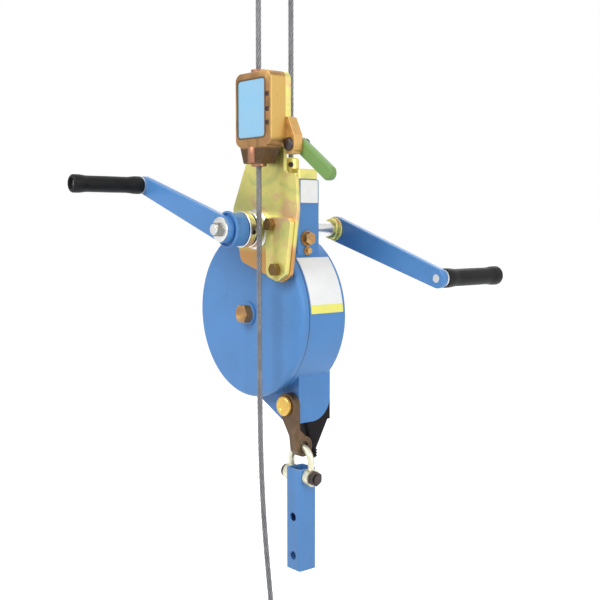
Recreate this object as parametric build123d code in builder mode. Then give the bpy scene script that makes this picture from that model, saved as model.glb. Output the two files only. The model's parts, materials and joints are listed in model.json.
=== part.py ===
"""Hand-cranked scaffold hoist that climbs a wire rope, with a rope grab on a second rope.

Millimetres, +Z up. The origin is the centre of the main rope's eye, and the rope hangs down from it
along -Z. The drum's axle and the crank run along Y, and the drum's flat cover faces -Y.
"""
import math
import os

from build123d import *

os.makedirs("parts", exist_ok=True)

pieces = {}

# Wire ropes and their eyes
rope_d = 8.0
rope_r = rope_d / 2
eye_above_axle = 546.0
thimble_seat_r = 18.0
thimble_bore_r = 10.5
thimble_width = 13.0
thimble_flange = 3.0
eye_leg_gap = 0.6
ferrule_length = 26.0
ferrule_wall = 3.5
ferrule_round = 3.0
ferrule_below_eye = 46.0
thimble_lip = 1.5
rope_play = 0.3
face_gap = 0.1

# Drum, cover and casing
drum_r = 130.0
drum_depth = 89.0
cover_depth = 12.0
cover_wall = 5.0
cover_rim = 6.0
cover_round = 5.0
casing_step = 1.5
casing_round = 7.0
shaft_relief = 2.0
wall = 4.0

# Traction sheave
sheave_pitch_r = 64.0
rope_depth = 32.5
rope_shift = 9.5
flange_r = 72.0
flange_width = 3.0
sheave_front_room = 3.5
sheave_back_room = 2.0
sheave_web = 9.0
sheave_rim = 9.0
sheave_hub_r = 24.0
sheave_hub_front = 13.0
sheave_hub_end_gap = 6.0
bush_wall = 4.0
bush_length = 15.0
running_gap = 0.05

# Axle
axle_r = 10.0
sleeve_wall = 4.0
bolt_head_r = 15.0
bolt_head_height = 13.0
washer_r = 18.0
washer_height = 3.0
axle_tail = 16.0
axle_thread_end = 2.0
bolt_edge = 1.2

# Gears
gear_module = 3.0
gear_teeth = 75
pinion_teeth = 15
pressure_angle = math.radians(20)
tooth_addendum = 0.8
tooth_dedendum = 1.0
tooth_thinning = 0.3
gear_width = 10.0
pinion_overhang = 1.0
crank_angle = 75.0
gear_bolt_count = 6
gear_bolt_r = 4.0
gear_bolt_head_r = 6.5
gear_bolt_head = 5.0
gear_bolt_circle = 38.0
gear_window_r = 15.0
gear_window_circle = 80.0

# Neck above the drum
neck_left = 1.0
neck_right = 90.0
neck_top = 206.0
neck_front_room = 9.5
neck_depth = 45.0
neck_round = 5.0
neck_top_round = 4.0
bridge_left = 24.0
bridge_height = 15.0
bridge_inset = 2.0
bridge_round = 3.0
neck_plate_size = 34.0
neck_plate_z = 187.0
neck_plate_thick = 1.2
neck_plate_round = 2.0
neck_washer = 2.0
neck_washer_margin = 1.5
neck_bolt_places = ((41.0, 117.0, 10.0, 9.0), (42.0, 98.5, 5.0, 5.0))
inlet_r = 12.5
inlet_height = 32.0
inlet_step = 3.0
inlet_round = 4.0
tag_start = 3.0
tag_sweep = 40.0
tag_thick = 1.0
tag_front_margin = 5.0
tag_back_margin = 9.0

# Tail below the drum
tail_front = 26.0
tail_bottom = -163.0
tail_left = 50.0
tail_shoulder_x = -20.0
tail_shoulder_z = -127.0
tail_round = 36.0

# Crank
shaft_r = 12.0
shaft_thread_r = 8.0
crank_radius = 230.0
arm_tilt = 17.9
arm_hub_r = 20.0
arm_end_r = 14.5
arm_thick = 12.0
left_arm_y = -65.0
left_hub_y = -43.0
left_hub_r = 25.0
right_arm_y = 147.3
right_hub_y = 137.6
right_hub_r = 16.5
crank_washer_r = 18.5
crank_nut_r = 11.5
crank_nut_height = 8.0
crank_thread_end = 3.0
hub_edge = 1.5
arm_edge = 2.5
grip_length = 124.0
grip_bore_gap = 0.1
grip_end_gap = 0.4
grip_r = 14.4
grip_waist_r = 12.9
grip_dip = 1.4
grip_collar = 10.0
grip_lip = 3.0
grip_nose = 4.0
grip_nose_collar = 7.0
grip_waists = (0.22, 0.5, 0.78)
grip_washer_r = 13.0
grip_washer_height = 2.5
spindle_r = 6.0
spindle_nut_r = 9.0
spindle_nut_height = 5.0

# Carrier plate and what stands on it
plate_front = -11.0
plate_thick = 6.0
cheek_thick = 8.0
plate_round = 14.0
notch_round = 6.0
plate_shaft_gap = 1.0
plate_below_grab_top = 12.0
plate_in_grab_left = 6.5
plate_in_grab_right = 16.5
cheek_margin = 2.0
cheek_left = 67.0
cheek_top = 148.0
cheek_round = 10.0
plate_bolt_r = 4.0
plate_bolt_head_r = 10.0
plate_bolt_head = 8.0
spacer_r = 9.0
collar_r = 27.0
collar_flange_r = 30.0
collar_flange = 4.0
collar_front_gap = 0.5
collar_edge = 2.0
upper_bolt = (80.0, 138.0)
lower_bolt = (92.0, 72.0)
standoff = (15.0, 178.0)

# Rope grab
grab_x = 75.0
grab_rope_x = 72.0
grab_rope_y = -35.0
grab_width = 83.0
grab_depth = 28.0
grab_bottom = 250.0
grab_height = 106.0
grab_round = 12.0
grab_wall = 5.0
grab_back_thick = 10.0
grab_chin = 24.0
chin_half_width = 20.0
chin_inset = 9.0
chin_overlap = 4.0
grab_edge = 2.5
label_margin = 7.5
label_screw_strip = 13.5
label_height = 82.0
label_bottom = 263.0
label_thick = 1.5
label_recess = 0.4
jaw_side_gap = 2.5
jaw_pivot_z = 305.0
jaw_r = 11.0
jaw_thick = 14.0
jaw_pin_r = 5.0
jaw_rope_gap = 1.0
jaw_shoulder = 3.0
jaw_nose_top = 5.0
jaw_nose_height = 19.0
grab_bush_r = 9.0
grab_bush_lip = 4.0
grab_bush_lip_width = 2.0
grab_screw_r = 2.5
grab_screw_head_r = 3.5
grab_screw_head = 2.0
grab_screw_margin = 7.0
grab_screw_heights = (322.0, 301.0, 282.0)

# Release lever
lever_pivot_out = 7.5
lever_pivot_z = 252.0
lever_length = 74.0
lever_angle = -35.0
lever_width = 21.0
lever_thick = 12.0
lever_pin_r = 6.0
lever_pin_head_r = 9.5
lever_pin_head = 5.0
lever_pin_tail = 4.0
lever_edge = 3.0
lug_round = 7.0
lug_width = 18.5
lug_tip = 5.0
lug_tip_round = 3.0
lug_bottom = 238.0
lug_shoulder = 264.0
lug_top = 291.0
side_gap = 0.3

# Hanger under the tail
hanger_pin_x = 75.0
hanger_pin_z = -136.0
hanger_pin_r = 10.0
hanger_head_r = 15.0
hanger_head = 6.0
hanger_front = 11.5
hanger_pin_tail = 6.0
hanger_eye_r = 19.0
hanger_eye_wall_gap = 0.5
link_x = 87.0
link_y = 33.0
link_z = -198.0
link_hole_r = 8.0
link_eye_r = 16.0
link_thick = 15.0
link_under_tail = 9.0
link_shoulder = 6.0
bow_bar_r = 5.0
bow_half_width = 23.0
shackle_pin_z = -243.0
shackle_pin_r = 7.0
shackle_eye_r = 13.0
shackle_eye_thick = 11.0
shackle_head_r = 10.0
shackle_head = 8.0
shackle_nut_r = 11.5
shackle_thread_end = 3.0
tube_size = 33.0
tube_wall = 3.0
tube_round = 4.0
tube_inner_round = 1.5
tube_above_pin = 12.0
tube_end = -388.0
tube_hole_r = 6.5
tube_hole_spacing = 60.0
tube_hole_margin = 22.0

# Rope outlet
outlet_x = 77.0
outlet_y = 63.0
outlet_hole_x = 74.0
outlet_hole_y = 59.0
outlet_hole_r = 13.0
outlet_hole_depth = 20.0
boot_front = 40.0
boot_left = 52.0
boot_bottom = -222.0
boot_round = 8.0
boot_mouth = 5.0
boot_stem_r = 7.0
boot_stem = 14.0
rope_tail_end = -246.0
tip_r = 4.7
tip_length = 14.0

# Pressure roller
roller_r = 18.0
roller_pin_r = 6.0
roller_angle = 180.0

# Places worked out from the sizes above
axle_x = -sheave_pitch_r
cover_y = -rope_depth
axle_z = -eye_above_axle
casing_r = drum_r - casing_step
crank_reach = gear_module * (gear_teeth + pinion_teeth) / 2
crank_x = crank_reach * math.cos(math.radians(crank_angle))
crank_z = crank_reach * math.sin(math.radians(crank_angle))
neck_front = rope_depth - neck_front_room
neck_back = neck_front + neck_depth
barrel_r = sheave_pitch_r - rope_r - rope_play
barrel_front = rope_depth - rope_r - sheave_front_room
barrel_back = rope_depth + rope_shift + rope_r + sheave_back_room
gear_front = barrel_back + flange_width
gear_back = gear_front + gear_width
sleeve_r = axle_r + sleeve_wall
bush_r = sleeve_r + running_gap + bush_wall
sheave_hub_back = drum_depth - wall - sheave_hub_end_gap
plate_back = plate_front + plate_thick
cheek_front = plate_front - cheek_thick
grab_back = plate_front - grab_back_thick
grab_front = grab_back - grab_depth
grab_top = grab_bottom + grab_height
grab_left = grab_x - grab_width / 2
grab_right = grab_x + grab_width / 2
grab_middle = grab_bottom + grab_height / 2
grab_screw_x = grab_right - grab_screw_margin
label_left = grab_left + label_margin
label_width = grab_width - label_margin - label_screw_strip
jaw_pivot_out = grab_rope_x - grab_left - grab_wall - jaw_side_gap - jaw_r
lever_pivot = (grab_right + lever_pivot_out, lever_pivot_z)
lug_right = grab_right + lug_width
collar_front = left_hub_y + collar_front_gap
bushing_r = shaft_r + running_gap + bush_wall
shaft_hole_r = shaft_r + shaft_relief
rope_hole_r = rope_r + rope_play


def across(y):
    """Plane square to the axle, y behind the cover's face; drawn as (X, Z) from the axle."""
    return Plane(origin=(axle_x, cover_y + y, axle_z), x_dir=(1, 0, 0), z_dir=(0, -1, 0))


def level(z):
    """Level plane, z above the axle; drawn as (X, Y) from the axle and the cover's face."""
    return Plane(origin=(axle_x, cover_y, axle_z + z))


def facing(x):
    """Plane that faces +X, x beside the axle; drawn as (Y, Z)."""
    return Plane(origin=(axle_x + x, cover_y, axle_z), x_dir=(0, 1, 0), z_dir=(1, 0, 0))


def spot(x, y, z):
    """A point given from the axle and the cover's face, in the part's own frame."""
    return Vector(axle_x + x, cover_y + y, axle_z + z)


def rod(y0, y1, r, x=0.0, z=0.0, mode=Mode.ADD):
    """A round bar along Y from depth y0 to depth y1."""
    with BuildSketch(across(max(y0, y1))) as disc:
        with Locations((x, z)):
            Circle(r)
    extrude(disc.sketch, amount=abs(y1 - y0), mode=mode)


def hexagon(y0, y1, r, x=0.0, z=0.0):
    """A six-sided head or nut along Y from depth y0 to depth y1."""
    with BuildSketch(across(max(y0, y1))) as head:
        with Locations((x, z)):
            RegularPolygon(r, 6)
    extrude(head.sketch, amount=abs(y1 - y0))


def post(z0, z1, r, x, y, mode=Mode.ADD):
    """An upright round bar from height z0 to height z1."""
    with BuildSketch(level(min(z0, z1))) as disc:
        with Locations((x, y)):
            Circle(r)
    extrude(disc.sketch, amount=abs(z1 - z0), mode=mode)


def bar(x0, x1, r, y, z, mode=Mode.ADD):
    """A round bar along X from x0 to x1."""
    with BuildSketch(facing(min(x0, x1))) as disc:
        with Locations((y, z)):
            Circle(r)
    extrude(disc.sketch, amount=abs(x1 - x0), mode=mode)


def block(x0, x1, y0, y1, z0, z1, mode=Mode.ADD):
    """A square-edged block between two corners."""
    with BuildSketch(level(z0)) as base:
        with Locations(((x0 + x1) / 2, (y0 + y1) / 2)):
            Rectangle(x1 - x0, y1 - y0)
    extrude(base.sketch, amount=z1 - z0, mode=mode)


def tooth_half_angle(radius, teeth):
    """Half the angle of an involute tooth at a radius."""
    pitch_r = gear_module * teeth / 2
    base_r = pitch_r * math.cos(pressure_angle)
    thickness = math.pi * gear_module / 2 - tooth_thinning / 2
    roll = math.acos(min(1.0, base_r / radius))
    involute = math.tan(pressure_angle) - pressure_angle - math.tan(roll) + roll
    return thickness / (2 * pitch_r) + involute


def gear_outline(teeth, phase):
    """Draw the closed outline of a gear, with one tooth centred on the phase angle in degrees."""
    pitch_r = gear_module * teeth / 2
    top_r = pitch_r + tooth_addendum * gear_module
    root_r = pitch_r - tooth_dedendum * gear_module
    start_r = max(root_r, pitch_r * math.cos(pressure_angle))
    pitch_angle = 2 * math.pi / teeth

    def at(radius, angle):
        return (radius * math.cos(angle), radius * math.sin(angle))

    with BuildLine() as outline:
        for tooth in range(teeth):
            middle = math.radians(phase) + tooth * pitch_angle
            wide = tooth_half_angle(start_r, teeth)
            half = tooth_half_angle((start_r + top_r) / 2, teeth)
            thin = tooth_half_angle(top_r, teeth)
            mid_r = (start_r + top_r) / 2
            if start_r > root_r:
                Line(at(root_r, middle - wide), at(start_r, middle - wide))
            ThreePointArc(at(start_r, middle - wide), at(mid_r, middle - half), at(top_r, middle - thin))
            ThreePointArc(at(top_r, middle - thin), at(top_r, middle), at(top_r, middle + thin))
            ThreePointArc(at(top_r, middle + thin), at(mid_r, middle + half), at(start_r, middle + wide))
            if start_r > root_r:
                Line(at(start_r, middle + wide), at(root_r, middle + wide))
            gap_end = middle + pitch_angle - wide
            gap_middle = middle + pitch_angle / 2
            ThreePointArc(at(root_r, middle + wide), at(root_r, gap_middle), at(root_r, gap_end))
    return outline.line


# Casing: a round cup with a neck above and a tail below, open at the front for the cover
with BuildPart() as neck_block:
    block(neck_left, neck_right, neck_front, neck_back, 0, neck_top)
    fillet(neck_block.edges().filter_by(Axis.Z), radius=neck_round)
    fillet(neck_block.edges().group_by(Axis.Z)[-1], radius=neck_top_round)

tail_outline = [
    (neck_right, 0),
    (neck_right, tail_bottom),
    (tail_left, tail_bottom),
    (tail_shoulder_x, tail_shoulder_z),
    (0, -drum_r / 3),
]
with BuildPart() as tail_block:
    with BuildSketch(across(drum_depth)):
        with BuildLine():
            Polyline(*tail_outline, close=True)
        make_face()
    extrude(amount=drum_depth - tail_front)
    bottom_edges = tail_block.edges().filter_by(Axis.X).group_by(Axis.Z)[0]
    fillet(bottom_edges.sort_by(Axis.Y)[-1], radius=tail_round)

with BuildPart() as tail_core:
    with BuildSketch(across(drum_depth - wall)):
        with BuildLine():
            Polyline(*tail_outline, close=True)
        make_face()
        offset(amount=-wall, kind=Kind.INTERSECTION)
    extrude(amount=drum_depth - tail_front - 2 * wall)
    core_edges = tail_core.edges().filter_by(Axis.X).group_by(Axis.Z)[0]
    fillet(core_edges.sort_by(Axis.Y)[-1], radius=tail_round - wall)

with BuildPart() as rear_casing:
    rod(cover_depth, drum_depth, casing_r)
    fillet(rear_casing.edges().group_by(Axis.Y)[-1], radius=casing_round)
    add(neck_block.part)
    add(tail_block.part)
    rod(cover_depth, drum_depth - wall, casing_r - wall, mode=Mode.SUBTRACT)
    block(
        neck_left + wall, neck_right - wall, neck_front + wall, neck_back - wall,
        0, neck_top - wall, mode=Mode.SUBTRACT,
    )
    add(tail_core.part, mode=Mode.SUBTRACT)
    rod(drum_depth - wall, drum_depth, axle_r, mode=Mode.SUBTRACT)
    rod(neck_front, neck_back, bushing_r, crank_x, crank_z, mode=Mode.SUBTRACT)
    rod(cover_depth, neck_front, shaft_hole_r, crank_x, crank_z, mode=Mode.SUBTRACT)
    rod(neck_back, drum_depth, bushing_r + bush_wall, crank_x, crank_z, mode=Mode.SUBTRACT)
    rod(neck_front, neck_front + wall, plate_bolt_r, *upper_bolt, mode=Mode.SUBTRACT)
    post(neck_top - wall, neck_top, inlet_r - inlet_step, sheave_pitch_r, rope_depth, mode=Mode.SUBTRACT)
    post(
        tail_bottom, tail_bottom + outlet_hole_depth, outlet_hole_r, outlet_hole_x, outlet_hole_y,
        mode=Mode.SUBTRACT,
    )
    rod(tail_front, tail_front + wall, hanger_pin_r, hanger_pin_x, hanger_pin_z, mode=Mode.SUBTRACT)
pieces["rear_casing"] = rear_casing

# Front cover: a shallow dish with a rounded rim
roller_reach = sheave_pitch_r + rope_r + rope_play + roller_r
roller_x = roller_reach * math.cos(math.radians(roller_angle))
roller_z = roller_reach * math.sin(math.radians(roller_angle))
with BuildPart() as front_cover:
    rod(0, cover_depth, drum_r)
    fillet(front_cover.edges().group_by(Axis.Y)[0], radius=cover_round)
    rod(cover_wall, cover_depth, drum_r - cover_rim, mode=Mode.SUBTRACT)
    rod(cover_wall, cover_depth, roller_pin_r + wall, roller_x, roller_z)
    rod(cover_wall, cover_depth, roller_pin_r, roller_x, roller_z, mode=Mode.SUBTRACT)
    rod(0, cover_wall, axle_r, mode=Mode.SUBTRACT)
    rod(0, cover_wall, plate_bolt_r, *lower_bolt, mode=Mode.SUBTRACT)
    rod(0, cover_depth, shaft_hole_r, crank_x, crank_z, mode=Mode.SUBTRACT)
pieces["front_cover"] = front_cover

# Axle: a long hex bolt through the drum, with its washer, sleeve and nut
with BuildPart() as axle_bolt:
    hexagon(-washer_height - bolt_head_height, -washer_height, bolt_head_r)
    fillet(axle_bolt.edges().group_by(Axis.Y)[0], radius=bolt_edge)
    rod(-washer_height, drum_depth + axle_tail, axle_r)
pieces["axle_bolt"] = axle_bolt

with BuildPart() as axle_washers:
    rod(-washer_height, 0, washer_r)
    rod(drum_depth, drum_depth + washer_height, washer_r)
    rod(-washer_height, drum_depth + washer_height, axle_r, mode=Mode.SUBTRACT)
pieces["axle_washers"] = axle_washers

nut_end = drum_depth + axle_tail - axle_thread_end
with BuildPart() as axle_nut:
    hexagon(drum_depth + washer_height, nut_end, bolt_head_r)
    rod(drum_depth + washer_height, nut_end, axle_r, mode=Mode.SUBTRACT)
pieces["axle_nut"] = axle_nut

with BuildPart() as axle_sleeve:
    rod(cover_wall, drum_depth - wall, sleeve_r)
    rod(cover_wall, drum_depth - wall, axle_r, mode=Mode.SUBTRACT)
pieces["axle_sleeve"] = axle_sleeve

# Sheave, its bushes, the gear bolted to it and the bolts
with BuildPart() as sheave:
    rod(barrel_front - flange_width, barrel_front, flange_r)
    rod(barrel_front, barrel_back, barrel_r)
    rod(barrel_back, gear_front, flange_r)
    rod(barrel_front - flange_width, gear_front - sheave_web, barrel_r - sheave_rim, mode=Mode.SUBTRACT)
    rod(sheave_hub_front, sheave_hub_back, sheave_hub_r)
    rod(sheave_hub_front, sheave_hub_back, bush_r, mode=Mode.SUBTRACT)
    with BuildSketch(across(gear_front)):
        with PolarLocations(gear_bolt_circle, gear_bolt_count):
            Circle(gear_bolt_r)
    extrude(amount=sheave_web, mode=Mode.SUBTRACT)
pieces["sheave"] = sheave

with BuildPart() as sheave_bushes:
    rod(sheave_hub_front, sheave_hub_front + bush_length, bush_r)
    rod(sheave_hub_back - bush_length, sheave_hub_back, bush_r)
    rod(sheave_hub_front, sheave_hub_back, sleeve_r + running_gap, mode=Mode.SUBTRACT)
pieces["sheave_bushes"] = sheave_bushes

with BuildPart() as drive_gear:
    with BuildSketch(across(gear_back)):
        add(make_face(gear_outline(gear_teeth, crank_angle), mode=Mode.PRIVATE))
        Circle(sheave_hub_r, mode=Mode.SUBTRACT)
        with PolarLocations(gear_bolt_circle, gear_bolt_count):
            Circle(gear_bolt_r, mode=Mode.SUBTRACT)
        with PolarLocations(gear_window_circle, gear_bolt_count):
            Circle(gear_window_r, mode=Mode.SUBTRACT)
    extrude(amount=gear_width)
pieces["drive_gear"] = drive_gear

with BuildPart() as gear_bolts:
    with BuildSketch(across(gear_back + gear_bolt_head)):
        with PolarLocations(gear_bolt_circle, gear_bolt_count):
            Circle(gear_bolt_head_r)
    extrude(amount=gear_bolt_head)
    with BuildSketch(across(gear_back)):
        with PolarLocations(gear_bolt_circle, gear_bolt_count):
            Circle(gear_bolt_r)
    extrude(amount=gear_width + sheave_web)
pieces["gear_bolts"] = gear_bolts

# Pressure roller that keeps the rope on the sheave, on a pin in the cover
with BuildPart() as pressure_roller:
    rod(barrel_front + side_gap, barrel_back - side_gap, roller_r, roller_x, roller_z)
    rod(barrel_front, barrel_back, roller_pin_r + running_gap, roller_x, roller_z, mode=Mode.SUBTRACT)
pieces["pressure_roller"] = pressure_roller

with BuildPart() as roller_pin:
    rod(cover_wall, barrel_back, roller_pin_r, roller_x, roller_z)
pieces["roller_pin"] = roller_pin

# Pinion, crank shaft and the bushes that carry it
pinion_phase = crank_angle + 180 + 180 / pinion_teeth
with BuildPart() as pinion:
    with BuildSketch(across(gear_back + pinion_overhang)):
        with Locations((crank_x, crank_z)):
            add(make_face(gear_outline(pinion_teeth, pinion_phase), mode=Mode.PRIVATE))
            Circle(shaft_r, mode=Mode.SUBTRACT)
    extrude(amount=gear_width + 2 * pinion_overhang)
pieces["pinion"] = pinion

left_arm_end = left_arm_y - arm_thick
right_arm_end = right_arm_y + arm_thick
thread_reach = washer_height + crank_nut_height + crank_thread_end
with BuildPart() as crank_shaft:
    rod(left_arm_end, right_arm_end, shaft_r, crank_x, crank_z)
    rod(left_arm_end - thread_reach, left_arm_end, shaft_thread_r, crank_x, crank_z)
    rod(right_arm_end, right_arm_end + thread_reach, shaft_thread_r, crank_x, crank_z)
pieces["crank_shaft"] = crank_shaft

with BuildPart() as neck_bushes:
    rod(neck_front, neck_front + 2 * wall, bushing_r, crank_x, crank_z)
    rod(neck_back - wall, neck_back + wall, bushing_r, crank_x, crank_z)
    rod(neck_front, neck_back + wall, shaft_r + running_gap, crank_x, crank_z, mode=Mode.SUBTRACT)
pieces["neck_bushes"] = neck_bushes

with BuildPart() as bearing_collar:
    rod(collar_front, plate_front, collar_r, crank_x, crank_z)
    fillet(bearing_collar.edges().group_by(Axis.Y)[0], radius=collar_edge)
    rod(plate_front - collar_flange, plate_front, collar_flange_r, crank_x, crank_z)
    rod(collar_front, plate_front, shaft_r + running_gap, crank_x, crank_z, mode=Mode.SUBTRACT)
pieces["bearing_collar"] = bearing_collar

# The two crank arms, half a turn apart, with hubs, nuts, spindles and loose grips
crank_sides = {}
for side, hub_y, arm_y, out, angle, hub_r in (
    ("left", left_hub_y, left_arm_y, -1, 180 - arm_tilt, left_hub_r),
    ("right", right_hub_y, right_arm_y, 1, -arm_tilt, right_hub_r),
):
    grip_x = crank_x + crank_radius * math.cos(math.radians(angle))
    grip_z = crank_z + crank_radius * math.sin(math.radians(angle))
    crank_sides[side] = (hub_y, arm_y, arm_y + out * arm_thick, out, hub_r, grip_x, grip_z)

with BuildPart() as crank_washers:
    for hub_y, arm_y, arm_end, out, hub_r, grip_x, grip_z in crank_sides.values():
        rod(arm_end, arm_end + out * washer_height, crank_washer_r, crank_x, crank_z)
        rod(arm_end, arm_end + out * washer_height, shaft_thread_r, crank_x, crank_z, mode=Mode.SUBTRACT)
pieces["crank_washers"] = crank_washers

with BuildPart() as crank_nuts:
    for hub_y, arm_y, arm_end, out, hub_r, grip_x, grip_z in crank_sides.values():
        nut_y = arm_end + out * washer_height
        hexagon(nut_y, nut_y + out * crank_nut_height, crank_nut_r, crank_x, crank_z)
        rod(nut_y, nut_y + out * crank_nut_height, shaft_thread_r, crank_x, crank_z, mode=Mode.SUBTRACT)
pieces["crank_nuts"] = crank_nuts

with BuildPart() as grip_washers:
    for hub_y, arm_y, arm_end, out, hub_r, grip_x, grip_z in crank_sides.values():
        rod(arm_end, arm_end + out * grip_washer_height, grip_washer_r, grip_x, grip_z)
        rod(arm_end, arm_end + out * grip_washer_height, spindle_r, grip_x, grip_z, mode=Mode.SUBTRACT)
pieces["grip_washers"] = grip_washers

grip_seat = grip_washer_height + grip_end_gap
spindle_reach = grip_seat + grip_length - spindle_nut_height - grip_end_gap
with BuildPart() as grip_spindles:
    for hub_y, arm_y, arm_end, out, hub_r, grip_x, grip_z in crank_sides.values():
        spindle_stop = arm_end + out * spindle_reach
        rod(arm_y, spindle_stop, spindle_r, grip_x, grip_z)
        hexagon(spindle_stop - out * spindle_nut_height, spindle_stop, spindle_nut_r, grip_x, grip_z)
pieces["grip_spindles"] = grip_spindles

for side, (hub_y, arm_y, arm_end, out, hub_r, grip_x, grip_z) in crank_sides.items():
    with BuildPart() as crank_hub:
        rod(hub_y, arm_y, hub_r, crank_x, crank_z)
        rod(hub_y, arm_y, shaft_r, crank_x, crank_z, mode=Mode.SUBTRACT)
        rims = crank_hub.edges().filter_by(GeomType.CIRCLE).sort_by(SortBy.RADIUS)[-2:]
        fillet(rims, radius=hub_edge)
    pieces[f"{side}_hub"] = crank_hub

    with BuildPart() as crank_arm:
        with BuildSketch(across(max(arm_y, arm_end))):
            with Locations((crank_x, crank_z)):
                Circle(arm_hub_r)
            with Locations((grip_x, grip_z)):
                Circle(arm_end_r)
            make_hull()
            with Locations((crank_x, crank_z)):
                Circle(shaft_r, mode=Mode.SUBTRACT)
            with Locations((grip_x, grip_z)):
                Circle(spindle_r, mode=Mode.SUBTRACT)
        extrude(amount=arm_thick)
        front_rim = crank_arm.faces().sort_by(Axis.Y)[0].outer_wire().edges()
        back_rim = crank_arm.faces().sort_by(Axis.Y)[-1].outer_wire().edges()
        fillet(front_rim + back_rim, radius=arm_edge)
    pieces[f"{side}_arm"] = crank_arm

    grip_start = arm_end + out * grip_seat
    spindle_stop = arm_end + out * spindle_reach
    nut_pocket = spindle_stop - out * (spindle_nut_height + grip_end_gap)
    with BuildPart() as grip:
        grip_base = spot(grip_x, grip_start, grip_z)
        with BuildSketch(Plane(origin=grip_base, x_dir=(0, out, 0), z_dir=(1, 0, 0))):
            with BuildLine():
                base = Line((0, 0), (0, out * (grip_r - grip_lip)))
                lip = RadiusArc(base @ 1, (grip_lip, out * grip_r), grip_lip * out)
                collar = Line(lip @ 1, (grip_collar, out * grip_r))
                first_waist, belly, second_waist = [grip_length * share for share in grip_waists]
                swell = Spline(
                    collar @ 1, (first_waist, out * grip_waist_r), (belly, out * (grip_r - grip_dip)),
                    (second_waist, out * grip_waist_r),
                    (grip_length - grip_nose - grip_nose_collar, out * grip_r), tangents=((1, 0), (1, 0)),
                )
                nose_collar = Line(swell @ 1, (grip_length - grip_nose, out * grip_r))
                nose = RadiusArc(nose_collar @ 1, (grip_length, out * (grip_r - grip_nose)), grip_nose * out)
                end = Line(nose @ 1, (grip_length, 0))
                Line(end @ 1, (0, 0))
            make_face()
        revolve(axis=Axis(grip_base, (0, out, 0)))
        rod(grip_start, spindle_stop, spindle_r + grip_bore_gap, grip_x, grip_z, mode=Mode.SUBTRACT)
        rod(
            nut_pocket, spindle_stop + out * grip_end_gap, spindle_nut_r + grip_end_gap,
            grip_x, grip_z, mode=Mode.SUBTRACT,
        )
    pieces[f"{side}_grip"] = grip

# Carrier plate in front of the neck, with the cheek plate bolted over its lower half
plate_grab_top = grab_top - plate_below_grab_top
plate_grab_left = grab_left + plate_in_grab_left
plate_grab_right = grab_right - plate_in_grab_right
plate_points = [
    (-5, 81),
    (-25, 161),
    (12, 236),
    (plate_grab_left, 264),
    (plate_grab_left, plate_grab_top),
    (plate_grab_right, plate_grab_top),
    (plate_grab_right, 213),
    (127, 211),
    (130, 160),
    (114, 62),
    (93, 52),
]
with BuildPart() as carrier_plate:
    with BuildSketch(across(plate_back)) as plate_outline:
        with BuildLine():
            Polyline(*plate_points, close=True)
        make_face()
        inlet_notch = plate_points[6]
        fillet(plate_outline.vertices().sort_by_distance(inlet_notch)[2:], radius=plate_round)
        fillet(plate_outline.vertices().sort_by_distance(inlet_notch)[:2], radius=notch_round)
    extrude(amount=plate_thick)
    rod(plate_front, plate_back, shaft_r + plate_shaft_gap, crank_x, crank_z, mode=Mode.SUBTRACT)
    rod(plate_front, plate_back, plate_bolt_r, *upper_bolt, mode=Mode.SUBTRACT)
    rod(plate_front, plate_back, plate_bolt_r, *lower_bolt, mode=Mode.SUBTRACT)
pieces["carrier_plate"] = carrier_plate

cheek_points = [
    (cheek_left, cheek_top),
    (plate_points[8][0] - 2 * cheek_margin, cheek_top),
    (plate_points[9][0] - cheek_margin, plate_points[9][1] + cheek_margin),
    (plate_points[10][0], plate_points[10][1] + cheek_margin),
    (cheek_left, plate_points[9][1]),
]
with BuildPart() as cheek_plate:
    with BuildSketch(across(plate_front)) as cheek_outline:
        with BuildLine():
            Polyline(*cheek_points, close=True)
        make_face()
        fillet(cheek_outline.vertices(), radius=cheek_round)
    extrude(amount=cheek_thick)
    rod(cheek_front, plate_front, plate_bolt_r, *upper_bolt, mode=Mode.SUBTRACT)
    rod(cheek_front, plate_front, plate_bolt_r, *lower_bolt, mode=Mode.SUBTRACT)
pieces["cheek_plate"] = cheek_plate

with BuildPart() as plate_bolts:
    for bolt, bolt_end in ((upper_bolt, neck_front + wall), (lower_bolt, cover_wall)):
        hexagon(cheek_front - plate_bolt_head, cheek_front, plate_bolt_head_r, *bolt)
        rod(cheek_front, bolt_end, plate_bolt_r, *bolt)
pieces["plate_bolts"] = plate_bolts

with BuildPart() as plate_spacers:
    rod(plate_back, neck_front, spacer_r, *upper_bolt)
    rod(plate_back, neck_front, plate_bolt_r, *upper_bolt, mode=Mode.SUBTRACT)
    rod(plate_back, 0, spacer_r, *lower_bolt)
    rod(plate_back, 0, plate_bolt_r, *lower_bolt, mode=Mode.SUBTRACT)
    rod(plate_back, neck_front, spacer_r, *standoff)
pieces["plate_spacers"] = plate_spacers

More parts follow.
